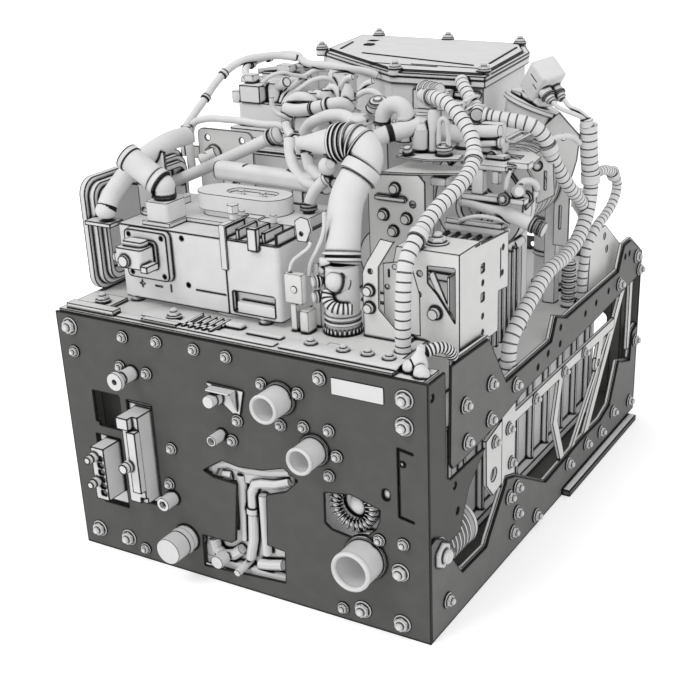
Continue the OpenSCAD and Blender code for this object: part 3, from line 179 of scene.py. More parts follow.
finishSet = {  # name: (slot, colour, roughness, reach of the painted shade on outer edges in mm, grain, reach of the painted shade in corners)
    "charcoalCoat": ("frame_coat", "#535351", 0.55, 3.0, 0.05),
    # painted light: the same charcoal coat, painted lighter as if lit, for the side plates
    "paintedLitCharcoal": ("frame_coat", "#6c6c6b", 0.55, 3.0, 0.05),
    # painted shade: the core pieces seen through the cut-outs are made near black to stand in for the shade
    # there
    "paintedShadeMoulding": ("core_dark", "#3c3c3a", 0.6, 2.8),
    "paleSheet": ("sheet_light", "#d6d6d5", 0.45, 2.3),
    "paleCasting": ("cast_light", "#d5d5d5", 0.55, 3.8, 0.03),
    "paleMoulding": ("moulding_light", "#d6d6d6", 0.5, 3.0),
    "paleHose": ("hose_light", "#d6d6d6", 0.65, 1.4),
    "ribbedHose": ("hose_light", "#d6d6d6", 0.65, 1.0, 0.02, 2.5),
    "paleSteel": ("steel_light", "#d6d6d6", 0.4, 1.2),
    "thinMoulding": ("moulding_light", "#d6d6d6", 0.5, 1.2),
    "thinSheet": ("sheet_light", "#d8d8d8", 0.45, 0.5),
    "finnedCasting": ("cast_light", "#d5d5d5", 0.55, 1.5, 0.02, 2.0),
}
finishes = {}
finishBySlot = {}  # the first finish of a slot dresses the pieces of the frame that have it
for finishName, (slotName, *look) in finishSet.items():
    finishes[finishName] = makeFinish(finishName, *look)
    finishBySlot.setdefault(slotName, finishName)
# the side plates take the charcoal coat painted lighter as if lit; thin and finned pieces take finishes
# whose painted shade reaches less far
ownFinish = {"side_plate_upper": "paintedLitCharcoal", "side_plate_lower": "paintedLitCharcoal", "nameplate_blank": "thinSheet",
             "sensor_bracket": "thinSheet", "compressor_housing": "finnedCasting",
             "converter_cover": "finnedCasting", "control_valve": "finnedCasting"}


def coat(piece, finishName):
    piece.data.materials.clear()
    piece.data.materials.append(finishes[finishName])


def coatFrame():
    for part in frame["record"]["subparts"]:
        name = part["node"]
        coat(nodes[name], ownFinish.get(name, finishBySlot[part["material_slot"]]))
    print("frame coated:", len(nodes), "pieces")


coatFrame()


# Modelling helpers

def deselect():
    for item in bpy.context.scene.objects:
        item.select_set(False)


def pick(piece):  # only this piece is selected and active
    deselect()
    piece.select_set(True)
    bpy.context.view_layer.objects.active = piece


def startEdit(choice):  # all of the mesh is selected with "SELECT", and none of it with "DESELECT"
    bpy.ops.object.mode_set(mode="EDIT")
    bpy.ops.mesh.select_all(action=choice)


def endEdit():
    bpy.ops.object.mode_set(mode="OBJECT")


def settle(piece):  # its place, turn and size go into its mesh
    pick(piece)
    bpy.ops.object.transform_apply(location=True, rotation=True, scale=True)


def takeUp(name):  # the new primitive gets its name and its place in its mesh
    piece = bpy.context.object
    piece.name = name
    piece.data.name = name
    bpy.ops.object.transform_apply(location=True, rotation=True, scale=True)
    return piece


def smooth(degrees):  # smooth shading, with edges sharper than this left crisp
    bpy.ops.object.shade_smooth_by_angle(angle=math.radians(degrees))


def turnTo(direction):
    return Vector(direction).to_track_quat("Z", "Y").to_euler()


def turned(name, start, direction, profile, sides=32):
    # a turned piece: each step of the profile is a distance along the axis and a radius, in mm
    deselect()
    axis = Vector(direction).normalized()
    origin = Vector(start) * mm + axis * profile[0][0] * mm
    bpy.ops.mesh.primitive_circle_add(vertices=sides, radius=profile[0][1] * mm, fill_type="NGON",
                                      location=origin, rotation=turnTo(axis))
    piece = takeUp(name)
    startEdit("SELECT")
    along, radius = profile[0]
    for step, wide in profile[1:]:
        bpy.ops.mesh.extrude_region_move(TRANSFORM_OT_translate={"value": axis * (step - along) * mm})
        if abs(wide - radius) > 1e-6:
            ratio = wide / radius
            bpy.ops.transform.resize(value=(ratio,) * 3, orient_type="GLOBAL",
                                     center_override=Vector(start) * mm + axis * step * mm)
        along, radius = step, wide
    bpy.ops.mesh.select_all(action="SELECT")
    bpy.ops.mesh.normals_make_consistent(inside=False)
    endEdit()
    smooth(35)
    return piece


def block(name, low, high, bevel=1.0, segments=2):
    deselect()
    low, high = Vector(low) * mm, Vector(high) * mm
    bpy.ops.mesh.primitive_cube_add(size=1, location=(low + high) / 2, scale=high - low)
    piece = takeUp(name)
    startEdit("SELECT")
    bpy.ops.mesh.bevel(offset=bevel * mm, segments=segments, affect="EDGES")
    endEdit()
    smooth(35)
    return piece


def layPath(points):  # a smooth path through the points, in mm
    deselect()
    bpy.ops.curve.primitive_bezier_curve_add()
    path = bpy.context.object
    spline = path.data.splines[0]
    spline.bezier_points.add(len(points) - len(spline.bezier_points))
    for point, place in zip(spline.bezier_points, points):
        point.co = Vector(place) * mm
        point.handle_left_type = point.handle_right_type = "AUTO"
    path.data.dimensions = "3D"
    path.data.resolution_u = 10
    path.data.twist_mode = "MINIMUM"
    return path


def sheetPiece(name, facing, level, thickness, outlines):
    # a flat sheet cut to outlines, the later ones are windows; facing is the axis it looks along
    deselect()
    bpy.ops.curve.primitive_nurbs_path_add()
    shape = bpy.context.object
    shape.data.splines.clear()
    shape.data.dimensions = "2D"
    shape.data.fill_mode = "BOTH"
    edge = 0.3  # of the small round along its edges, in mm
    shape.data.extrude = (thickness / 2 - edge) * mm
    shape.data.bevel_depth = edge * mm
    for outline in outlines:
        line = shape.data.splines.new("POLY")
        line.points.add(len(outline) - 1)
        for point, (u, v) in zip(line.points, outline):
            point.co = (u * mm, v * mm, 0, 1)
        line.use_cyclic_u = True
    turns = {"y": (math.pi / 2, 0, 0), "x": (math.pi / 2, 0, math.pi / 2), "z": (0, 0, 0)}
    shape.rotation_euler = turns[facing]
    shape.location["xyz".index(facing)] = level * mm
    pick(shape)
    bpy.ops.object.convert(target="MESH")
    return takeUp(name)


def disc(u, v, radius, sides=16):
    return [(u + radius * math.cos(2 * math.pi * i / sides), v + radius * math.sin(2 * math.pi * i / sides))
            for i in range(sides)]


def tubeAlong(name, points, radius, sides=6):
    path = layPath(points)
    path.data.bevel_depth = radius * mm
    path.data.bevel_resolution = sides
    path.data.use_fill_caps = True
    pick(path)
    bpy.ops.object.convert(target="MESH")
    tube = takeUp(name)
    smooth(40)
    return tube


def corrugated(name, points, radius, pitch, groove, depth, sides=20):
    # one rib is modelled, then repeated along the path
    path = layPath(points)
    deselect()
    bpy.ops.mesh.primitive_cylinder_add(vertices=sides, radius=radius * mm, depth=(pitch - groove) * mm,
                                        end_fill_type="NOTHING", rotation=(0, math.pi / 2, 0))
    rib = takeUp(name)
    startEdit("DESELECT")
    endEdit()
    for edge in rib.data.edges:
        edge.select = all(rib.data.vertices[v].co.x > 0 for v in edge.vertices)
    bpy.ops.object.mode_set(mode="EDIT")
    bpy.context.tool_settings.mesh_select_mode = (False, True, False)
    end = (pitch - groove) / 2 * mm
    slope = 0.3  # length of each side of a groove, in mm
    narrow = radius - depth
    for step, ratio in ((slope, narrow / radius), (groove - 2 * slope, 1), (slope, radius / narrow)):
        bpy.ops.mesh.extrude_edges_move(TRANSFORM_OT_translate={"value": (step * mm, 0, 0)})
        end += step * mm
        if ratio != 1:
            bpy.ops.transform.resize(value=(1, ratio, ratio), orient_type="GLOBAL",
                                     center_override=(end, 0, 0))
    bpy.context.tool_settings.mesh_select_mode = (True, False, False)
    endEdit()
    repeat = rib.modifiers.new("repeat", "ARRAY")
    repeat.fit_type = "FIT_CURVE"
    repeat.curve = path
    repeat.use_merge_vertices = True
    repeat.merge_threshold = 0.2 * mm
    bend = rib.modifiers.new("bend", "CURVE")
    bend.object = path
    bend.deform_axis = "POS_X"
    pick(rib)
    bpy.ops.object.modifier_apply(modifier="repeat")
    lowest = min(v.co.x for v in rib.data.vertices)
    bpy.ops.transform.translate(value=(-lowest, 0, 0))
    bpy.ops.object.transform_apply(location=True, rotation=True, scale=True)
    bpy.ops.object.modifier_apply(modifier="bend")
    startEdit("SELECT")
    bpy.ops.mesh.remove_doubles(threshold=0.05 * mm)
    bpy.ops.mesh.fill_holes(sides=sides)
    bpy.ops.mesh.normals_make_consistent(inside=False)
    endEdit()
    smooth(35)
    bpy.data.objects.remove(path)
    return rib


def joined(name, pieces):
    deselect()
    for piece in pieces:
        piece.select_set(True)
    bpy.context.view_layer.objects.active = pieces[0]
    bpy.ops.object.join()
    whole = bpy.context.object
    whole.name = name
    whole.data.name = name
    return whole


def fit(piece, finishName, *replaced):
    coat(piece, finishName)
    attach(piece, "module")
    if replaced:
        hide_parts(*replaced)
    return piece


# Conduits

conduit = {
    "radius": 10.5,
    "pitch": 12.5,
    "groove": 1.6,
    "depth": 0.9,
    "sizes": {"front": 1.04, "middle": 1.06, "top": 1.36, "right": 1.14, "short": 1.0, "loop": 0.8},
    "front": [(120, -34, 678), (143, -52, 680), (168, -66, 675), (198, -82, 656), (220, -98, 636),
              (233, -120, 616), (241, -158, 600), (241, -202, 587), (236, -242, 573), (235, -280, 557),
              (236, -310, 543), (236, -332, 523), (237, -341, 498), (238, -346, 469), (238, -348, 437),
              (238, -348, 405)],
    "middle": [(187, 20, 643), (224, 25, 640), (258, 34, 632), (272, 46, 614), (279, 58, 586),
               (283, 74, 563), (290, 105, 527), (291, 155, 491), (284, 205, 454), (262, 262, 432),
               (230, 330, 422), (204, 380, 419), (200, 409, 418)],
    "top": [(298, 164, 612), (298, 166, 596), (298, 171, 566), (298, 180, 534)],
    "right": [(298, 182, 530), (298, 185, 516), (298, 182, 482),
              (298, 149, 440), (298, 86, 419), (298, 15, 415), (298, -57, 389), (297, -98, 368),
              (294, -119, 345), (293.5, -124, 322), (293.5, -124, 306)],
    "short": [(106, 100, 679), (119, 82, 672), (139, 62, 660), (158, 46, 650), (168, 30, 647),
              (171, 21, 645.5)],
    "loop": [(296, 221, 521.7), (296, 261, 516), (296, 297, 501), (296, 321, 476), (296, 311, 456),
             (296, 271, 437), (296, 228, 427), (293, 199, 406), (289, 190, 360), (288, 189, 306)],
}


def makeConduits():
    parts = []
    for key, size in conduit["sizes"].items():
        parts.append(corrugated("conduit_" + key, conduit[key], conduit["radius"] * size,
                                conduit["pitch"], conduit["groove"], conduit["depth"]))
    whole = joined("corrugated_conduits", parts)
    fit(whole, "ribbedHose", "conduits")
    print("conduits laid:", len(whole.data.polygons), "faces")


makeConduits()

mainHose = {
    "radius": 24.5,
    "route": [(84, -225, 647.6), (99, -225, 648.5), (113, -226, 643), (120, -230, 630), (119, -238, 616),
              (114, -252, 601), (112, -268, 584), (115, -284, 564), (121, -299, 541), (125, -309, 520),
              (126, -315, 502)],
    "seamRadius": 1.4,
    "seam": [(123, -264, 613), (121, -279, 597), (121, -291, 580), (124, -305, 560)],
}


def makeMainHose():
    hose = tubeAlong("main_air_hose", mainHose["route"], mainHose["radius"], 10)
    fit(hose, "paleHose", "air_hose")
    fit(tubeAlong("main_hose_seam", mainHose["seam"], mainHose["seamRadius"], 3), "paleSteel")
    print("main hose laid")


makeMainHose()

intake = {
    "radius": 14.5,
    "route": [(-262, -346, 541), (-262, -338, 553), (-262, -318, 568), (-256, -296, 586),
              (-240, -274, 606), (-230, -232, 620), (-240, -172, 617)],
    "end": ((-262, -346, 543), (0.02, -0.5, -0.86),
            [(-4, 14.5), (4, 15.5), (9, 14.5), (13, 11), (15.5, 6), (16, 3)]),
}


def makeIntake():
    hose = tubeAlong("intake_air_hose", intake["route"], intake["radius"], 8)
    end = turned("intake_end", *intake["end"], 32)
    fit(joined("intake_air_hose", [hose, end]), "paleHose", "intake_hose")
    print("intake hose laid")


makeIntake()


# Bolts

bolt = {  # a bolt of washer radius 1, standing on z = 0
    "washer": [(0.0, 1.0), (0.13, 1.0), (0.19, 0.93)],
    "nutAcross": 0.8,
    "nutTop": 0.62,
    "nutChamfer": 0.09,
    "stud": [(0.0, 0.42), (0.92, 0.42), (1.02, 0.34)],
    "thickness": 0.72,  # of a washer and head together, against the washer's radius
    "size": {"plate_bolts": 1.14, "deck_bolts": 1.3},  # against the solid that it replaces
    "deckAbove": 0.4,  # a bolt above this height stands upright
    "sideBeyond": 0.31,  # a bolt beyond this looks to the right, all others look to the front
}


def modelBolt():
    parts = []
    for key, sides in (("washer", 28), ("stud", 16)):
        profile = [(along / mm, radius / mm) for along, radius in bolt[key]]
        parts.append(turned("bolt_" + key, (0, 0, 0), (0, 0, 1), profile, sides))
    deselect()
    low = bolt["washer"][-1][0]
    bpy.ops.mesh.primitive_cylinder_add(vertices=6, radius=bolt["nutAcross"], depth=bolt["nutTop"] - low,
                                        location=(0, 0, (bolt["nutTop"] + low) / 2))
    nut = takeUp("boltNut")
    startEdit("DESELECT")
    endEdit()
    for face in nut.data.polygons:
        face.select = face.normal.z > 0.9
    bpy.ops.object.mode_set(mode="EDIT")
    bpy.ops.mesh.select_mode(type="FACE")
    bpy.ops.mesh.bevel(offset=bolt["nutChamfer"], segments=2, affect="EDGES")
    bpy.ops.mesh.select_mode(type="VERT")
    endEdit()
    smooth(25)
    return joined("bolt", parts + [nut])


def solidsOf(name):  # the boxes of the separate solids of one piece of the frame
    copy = nodes[name].copy()
    copy.data = nodes[name].data.copy()
    bpy.context.collection.objects.link(copy)
    pick(copy)
    startEdit("SELECT")
    bpy.ops.mesh.remove_doubles(threshold=0.01 * mm)
    bpy.ops.mesh.separate(type="LOOSE")
    endEdit()
    boxes = []
    for solid in bpy.context.selected_objects[:]:
        places = [v.co for v in solid.data.vertices]
        boxes.append((Vector([min(v[i] for v in places) for i in range(3)]),
                      Vector([max(v[i] for v in places) for i in range(3)])))
        bpy.data.objects.remove(solid)
    return boxes


def dressBolts(name, newName):
    pattern = modelBolt()
    bolts = []
    for low, high in solidsOf(name):
        middle = (low + high) / 2
        size = high - low
        if middle.z > bolt["deckAbove"]:
            axis, radius, tip = Vector((0, 0, 1)), size.x / 2, high.z
        elif high.x > bolt["sideBeyond"]:
            axis, radius, tip = Vector((1, 0, 0)), size.y / 2, high.x
        else:
            axis, radius, tip = Vector((0, -1, 0)), size.x / 2, -low.y
        foot = middle + axis * (tip - radius * bolt["thickness"] - middle.dot(axis))
        piece = pattern.copy()
        piece.data = pattern.data.copy()
        bpy.context.collection.objects.link(piece)
        piece.location = foot
        piece.rotation_euler = turnTo(axis)
        wide = radius * bolt["size"][name]
        reach = (cadBounds[1].x - 0.1 * mm - foot.x) / bolt["stud"][-1][0] if axis.x else wide
        piece.scale = (wide, wide, min(wide, reach))  # a side bolt stays inside the CAD box
        settle(piece)
        bolts.append(piece)
    bpy.data.objects.remove(pattern)
    fit(joined(newName, bolts), "paleSteel", name)
    print(newName, len(bolts), "bolts")


dressBolts("plate_bolts", "plate_bolt_set")
dressBolts("deck_bolts", "deck_bolt_set")


# Pipes and hoses above the module

pipes = {  # name: (route, radius), smooth pipes and cables in mm
    "return_pipe": ([(-296, -139, 532), (-244, -139, 554), (-169, -139, 588), (-100, -139, 620)], 9.5),
    "coolant_pipe": ([(186, -62, 536), (204, -62, 535), (221, -62, 531), (254, -62, 524), (281, -62, 515),
                      (303, -62, 509)], 11),
    "duct_drain": ([(-43, -175, 632), (-40, -181, 618), (-35, -186, 606), (-18, -197, 587), (5, -207, 577),
                    (40, -220, 578)], 8.5),
    "vent_hose": ([(62, -236, 598), (52, -236, 591), (36, -236, 574), (25, -235, 552), (24, -235, 541)],
                  8.5),
    "drive_link": ([(195, -20, 612), (214, -20, 614), (230, -20, 616)], 5.5),
    "drive_tube": ([(186, -18, 628), (205, -18, 630), (228, -18, 632)], 9.5),
    "harness_front": ([(-243, 14, 667), (-262, 30, 686), (-262, 62, 694), (-250, 104, 697),
                       (-228, 124, 697), (-190, 92, 696), (-158, 66, 695), (-120, 66, 694),
                       (-92, 74, 690), (-62, 96, 682), (-50, 104, 676)], 6),
    "harness_top": ([(-262, 68, 676), (-240, 74, 679), (-214, 81, 683), (-178, 89, 688), (-142, 96, 691),
                     (-118, 103, 685), (-100, 110, 676), (-98, 116, 668)], 4.5),
    "left_riser": ([(-296, -108, 566), (-299, -104, 588), (-299, -98, 608), (-294, -80, 627),
                    (-291, -50, 648), (-289, -20, 669), (-281, 10, 688), (-267, 35, 699), (-250, 55, 702),
                    (-226, 80, 702), (-200, 94, 698)], 6.2),
    "left_level": ([(-282, -105, 590), (-282, -104, 609), (-276, -104, 620), (-262, -104, 627),
                    (-205, -104, 632), (-145, -104, 630), (-95, -104, 627), (-84, -108, 620)], 5.6),
    "left_drop": ([(-284, -112, 618), (-284, -110, 591), (-284, -108, 547)], 7),
    "sensor_pipe_a": ([(88, -332, 534), (87, -336, 527), (78, -342, 518), (65, -345, 506),
                       (61, -347, 493), (61, -347, 486)], 2.4),
    "sensor_pipe_b": ([(106, -322, 576), (105, -326, 546), (96, -330, 522), (84, -330, 500),
                       (81, -330, 482)], 2.8),
    "harness_bar": ([(-262, 20, 671), (-231, 20, 666), (-197, 20, 665), (-184, 20, 650)], 5.5),
    "harness_pipe_a": ([(-176, 2, 640), (-173, 10, 655), (-165, 27, 666), (-156, 43, 676), (-143, 60, 686),
                        (-130, 80, 684)], 4),
    "harness_pipe_b": ([(-170, -2, 636), (-166, 5, 648), (-148, 20, 663), (-131, 35, 675), (-112, 50, 676),
                        (-104, 60, 664)], 4),
    "harness_sixth": ([(-205, 0, 668), (-190, -10, 682), (-172, -2, 690), (-160, 20, 684),
                       (-150, 44, 677)], 3.2),
    "valve_main": ([(-152, -22, 638), (-134, -24, 637), (-109, -24, 640), (-86, -24, 646), (-60, -22, 652),
                    (-48, -14, 652), (-42, 0, 640)], 10),
    "valve_second": ([(-158, -6, 636), (-148, -10, 648), (-129, -10, 656), (-112, -8, 652),
                      (-104, 0, 636)], 8.5),
    "valve_hook": ([(-171, -30, 656), (-170, -30, 641), (-163, -30, 632), (-147, -30, 628),
                    (-140, -22, 622)], 4),
    "valve_loop": ([(-88, 5, 640), (-88, 5, 656), (-84, 5, 669), (-75, 5, 673), (-66, 5, 664),
                    (-64, 6, 650)], 5),
    "valve_spout_a": ([(-72, 20, 660), (-68, 20, 674), (-58, 20, 685), (-46, 20, 688)], 4.5),
    "valve_spout_b": ([(-37, 20, 662), (-30, 20, 672), (-22, 20, 679), (-10, 20, 684)], 4.5),
    "valve_spout_c": ([(-38, 15, 660), (-16, 15, 669), (-1, 15, 666), (14, 14, 650)], 5),
    "duct_top_tube": ([(-87, -70, 612), (-76, -72, 626), (-49, -84, 641), (-6, -104, 655), (30, -122, 656),
                       (46, -130, 648)], 9),
    "duct_arm": ([(-87, -120, 640), (-78, -126, 628), (-60, -138, 622), (-34, -158, 617),
                  (-8, -178, 606)], 6.5),
    "drive_cable_a": ([(140, 20, 654), (150, 34, 664), (152, 60, 664), (140, 84, 656), (128, 102, 650)],
                      3.4),
    "drive_cable_b": ([(148, 16, 650), (162, 30, 654), (164, 60, 650), (150, 86, 640), (134, 102, 636)],
                      3.0),
    "drive_rod": ([(152, -70, 612), (153, -70, 640), (157, -70, 655), (163, -70, 655), (167, -70, 640),
                   (168, -70, 612)], 3.6),
    "drive_lever": ([(264, -62, 589), (260, -63, 573), (259, -64, 557), (260, -64, 546)], 3.6),
    "middle_cable_a": ([(182, -68, 500), (200, -84, 512), (226, -86, 520), (250, -76, 516),
                        (262, -58, 506)], 3.2),
    "frame_tube": ([(268, -50, 545), (272, -50, 560), (282, -46, 570), (290, -36, 566), (290, -20, 552)],
                   5),
    "rear_link": ([(262, 70, 598), (276, 96, 604), (288, 120, 600), (294, 140, 586)], 4.5),
}


pipeReplaces = {"left_riser": ["thin_tubes"]}


def layPipes():
    for name, (route, radius) in pipes.items():
        fit(tubeAlong(name, route, radius, 5), "paleHose", *pipeReplaces.get(name, []))
    print("pipes laid:", len(pipes))


layPipes()


# Turned fittings: caps, rings and nuts on the ends of the pipes

fittings = {  # name: (start, direction, profile of (distance, radius) steps), in mm
    "return_pipe_ring": ((-106, -139, 617), (0.9, 0, 0.42),
                         [(0, 11), (2, 13.5), (7, 13.5), (7.6, 11), (12, 11), (12.6, 13.5), (18, 13.5),
                          (20, 10)]),
    "coolant_pipe_nipple": ((300, -62, 510), (0.94, 0, -0.3),
                            [(0, 12.5), (5, 12.5), (5.4, 10), (9, 10), (9.4, 12), (13, 12), (13.4, 10),
                             (16, 10), (16.4, 12), (20, 12), (21, 10)]),
    "coolant_pipe_cap": ((190, -62, 536), (-1, 0, 0.02), [(0, 11), (3, 10.4), (6, 7.6), (7.5, 4)]),
    "drain_ball": ((62, -238, 614), (0.6, -0.5, 0.4), [(-12, 7), (-9, 11), (-3, 13.5), (3, 13.5), (9, 11),
                                                       (12, 7)]),
    "drain_nut": ((40, -222, 579), (0.9, -0.35, 0.1), [(0, 10), (4, 11.5), (12, 11.5), (13, 9)]),
    "vent_nut": ((56, -236, 594), (0.86, -0.1, 0.5), [(0, 9), (1, 10.5), (8, 10.5), (9, 9)]),
    "vent_foot": ((24, -235, 541), (0, 0, 1), [(5, 13), (10, 13), (10.4, 10.5), (15, 10.5)]),
    "drive_link_cap": ((226, -20, 616), (1, 0, 0.05), [(0, 8.5), (6, 8.5), (7.5, 7), (9, 4)]),
    "canister_a": ((119, -62, 602), (0, 0, 1), [(0, 8), (4, 13), (8, 14.5), (34, 15), (36, 13.5),
                                                (40, 12.5), (44, 9)]),
    "canister_b": ((138, -60, 600), (0, 0, 1), [(0, 7), (4, 8.5), (60, 8.5), (64, 6), (68, 5)]),
    "rod_nut": ((161, -71, 600), (0, 0, 1), [(0, 13), (4, 13), (4.4, 10), (9, 10), (9.6, 12), (15, 12),
                                             (16, 9)]),
    "elbow_nut_low": ((87, -67, 642), (-0.45, 0, -0.9), [(0, 13), (1, 14.5), (15, 14.5), (16, 11),
                                                         (26, 10.5)]),
    "shelf_bolt": ((111, -90, 604), (0, -0.3, 1), [(0, 9), (3, 9), (3.4, 6.5), (10, 6.5), (11, 5)]),
    "valve_ring": ((-100, -24, 642), (1, 0, 0.2), [(0, 11.6), (5, 11.6)]),
    "valve_ring_b": ((-74, -24, 649), (1, 0, 0.25), [(0, 12), (9, 12)]),
    "valve_collar": ((-90, 5, 642), (0, 0, 1), [(0, 9), (9, 9)]),
    "valve_cone": ((-50, 8, 640), (0, 0, 1), [(0, 13), (14, 13), (14.5, 11.5), (24, 11.5), (38, 4.5),
                                              (42, 3)]),
    "valve_eye": ((12, -2, 645), (0.1, -0.35, 1), [(0, 15), (6, 17), (12, 17), (13, 14), (17, 14),
                                                   (17.4, 8), (20, 7)]),
    "duct_knob": ((50, -130, 648), (0.05, -0.1, 1), [(0, 12), (10, 12), (12, 10.5), (14, 7)]),
    "left_grommet": ((-165, 76, 686), (0, -0.4, 1), [(0, 9), (5, 9), (6, 7)]),
    "left_drop_band": ((-284, -112, 606), (0, -0.1, 1), [(0, 8.5), (1, 9.5), (11, 9.5), (12, 8.5)]),
    "riser_band_a": ((-291, -50, 648), (0.05, 0.8, 0.55), [(0, 8), (7, 8)]),
    "riser_band_b": ((-286, -4, 679), (0.15, 0.75, 0.5), [(0, 8), (9, 8)]),
    "hole_boss_a": ((247, -397, 222), (0, -1, 0), [(0, 10), (24, 10)]),
    "hole_boss_b": ((273, -397, 275), (0, -1, 0), [(0, 5), (26.6, 5)]),
    "moon_ball": ((196, -398, 186), (0.1, -1, 0.1), [(0, 17), (6, 17), (11, 14), (15, 9), (17, 4)]),
    "harness_band_a": ((-262, 44, 690), (0, 1, 0.25), [(0, 7.6), (8, 7.6)]),
    "harness_band_b": ((-256, 86, 695.5), (0.25, 1, 0.06), [(0, 7.6), (8, 7.6)]),
    "arm_band": ((-62, -137, 622.5), (0.75, -0.55, -0.15), [(0, 8), (6, 8)]),
    "lever_ring": ((260, -72, 546), (0, -1, 0.25), [(0, 10), (4, 10), (4.4, 6), (8, 6), (9, 4)]),
    "lug_drum": ((275, -60, 556), (0.6, -0.75, 0.3), [(0, 10), (10, 10), (12, 8)]),
    "bracket_bolt": ((266, 36, 572), (0.3, -0.95, 0.1), [(0, 9), (3, 9), (3.4, 6), (8, 6), (9, 4.5)]),
    "valve_sensor": ((60, -6, 600), (0, 0, 1), [(0, 13), (20, 13), (20.6, 10), (30, 10), (30.6, 12),
                                                (44, 12), (46, 9)]),
    "rear_filter": ((209, 236, 304), (0, 0, 1), [(0, 25), (6, 31), (12, 31), (12.6, 27), (64, 27),
                                                 (64.6, 29.5), (72, 29.5), (72.6, 27), (122, 27),
                                                 (122.6, 29.5), (131, 29.5), (131.6, 25), (158, 23),
                                                 (170, 17), (176, 9)]),
    "drive_link_ring": ((190, -20, 614.6), (1, 0, 0.05), [(0, 8), (6, 8)]),
}


def turnFittings():
    for name, (start, direction, profile) in fittings.items():
        fit(turned(name, start, direction, profile, 24), "paleCasting")
    print("fittings turned:", len(fittings))


turnFittings()

elbow = {  # the bent hose between two hexagon fittings, right of the band clamp
    "route": [(55, -66, 640), (57, -66, 654), (68, -66, 667), (84, -66, 669), (95, -66, 659),
              (94, -66, 646), (87, -66, 636)],
    "radius": 12.5,
    "nut": ((54, -66, 622), (0.05, -0.05, 1), [(0, 15.0), (1, 16.5), (19, 16.5), (20, 15.0)]),
}


def makeElbow():
    bend = tubeAlong("elbow_bend", elbow["route"], elbow["radius"], 8)
    fit(joined("elbow_hose", [bend, turned("elbow_nut", *elbow["nut"], 6)]), "paleCasting")
    print("elbow made")


makeElbow()


# Small housings, plugs and brackets

housings = {  # name: (low corner, high corner, bevel), in mm
    "sensor_plug_a": ((-222, 62, 676), (-194, 84, 690), 2.5),
    "sensor_plug_b": ((-246, 2, 668), (-228, 22, 682), 2.0),
    "sensor_plug_c": ((-268, -6, 636), (-250, 8, 656), 2.0),
    "valve_cap_a": ((-136, -16, 627.5), (-100, 4, 646), 2.5),
    "valve_cap_b": ((-96, -22, 630), (-78, -6, 648), 2.0),
    "valve_lug": ((-160, -24, 606), (-146, -8, 636), 2.0),
    "harness_box": ((-214, 96, 640), (-160, 130, 686), 3.0),
    "harness_saddle": ((-112, 60, 628), (-84, 96, 684), 3.0),
    "drive_plug_a": ((128, 8, 644), (152, 26, 662), 2.5),
    "link_block": ((186, -14, 596), (230, 12, 612), 3.0),
    "link_body": ((190, -10, 611.5), (226, 10, 640), 3.0),
    "ledge_body": ((160, -72, 488), (262, -52, 500), 2.5),
    "ledge_rib": ((164, -74, 500), (258, -66, 508), 1.5),
    "valve_cover_a": ((-36, -40, 604), (8, -6, 628), 3.0),
    "valve_cover_b": ((-30, -36, 628), (0, -12, 640), 2.5),
    "relay_lug_a": ((104, 84, 628), (128, 108, 648), 2.0),
    "relay_lug_b": ((60, 86, 640), (92, 106, 664), 2.5),
    "drive_flange": ((196, -72, 586), (262, -54, 594), 1.5),
    "drive_flange_up": ((256, -56, 588), (290, -36, 598), 1.5),
    "drive_cheek": ((206, -72, 548), (226, -56, 587), 2.0),
    "drive_lug": ((238, -70, 566), (250, -56, 587), 1.5),
    "conduit_foot": ((184, 396, 404), (216, 421, 436), 2.0),
    "drive_foot": ((190, -74, 540), (292, -56, 549), 1.5),
    "drive_lid_rib": ((214, -40, 594), (246, -20, 600), 2.0),
    "drive_bar_a": ((150, -96, 561), (176, -72, 574), 2.0),
}


def makeHousings():
    for name, (low, high, bevel) in housings.items():
        fit(block(name, low, high, bevel), "paleMoulding")
    print("housings made:", len(housings))


makeHousings()


# Flat brackets, ledges and the ribs of the lid

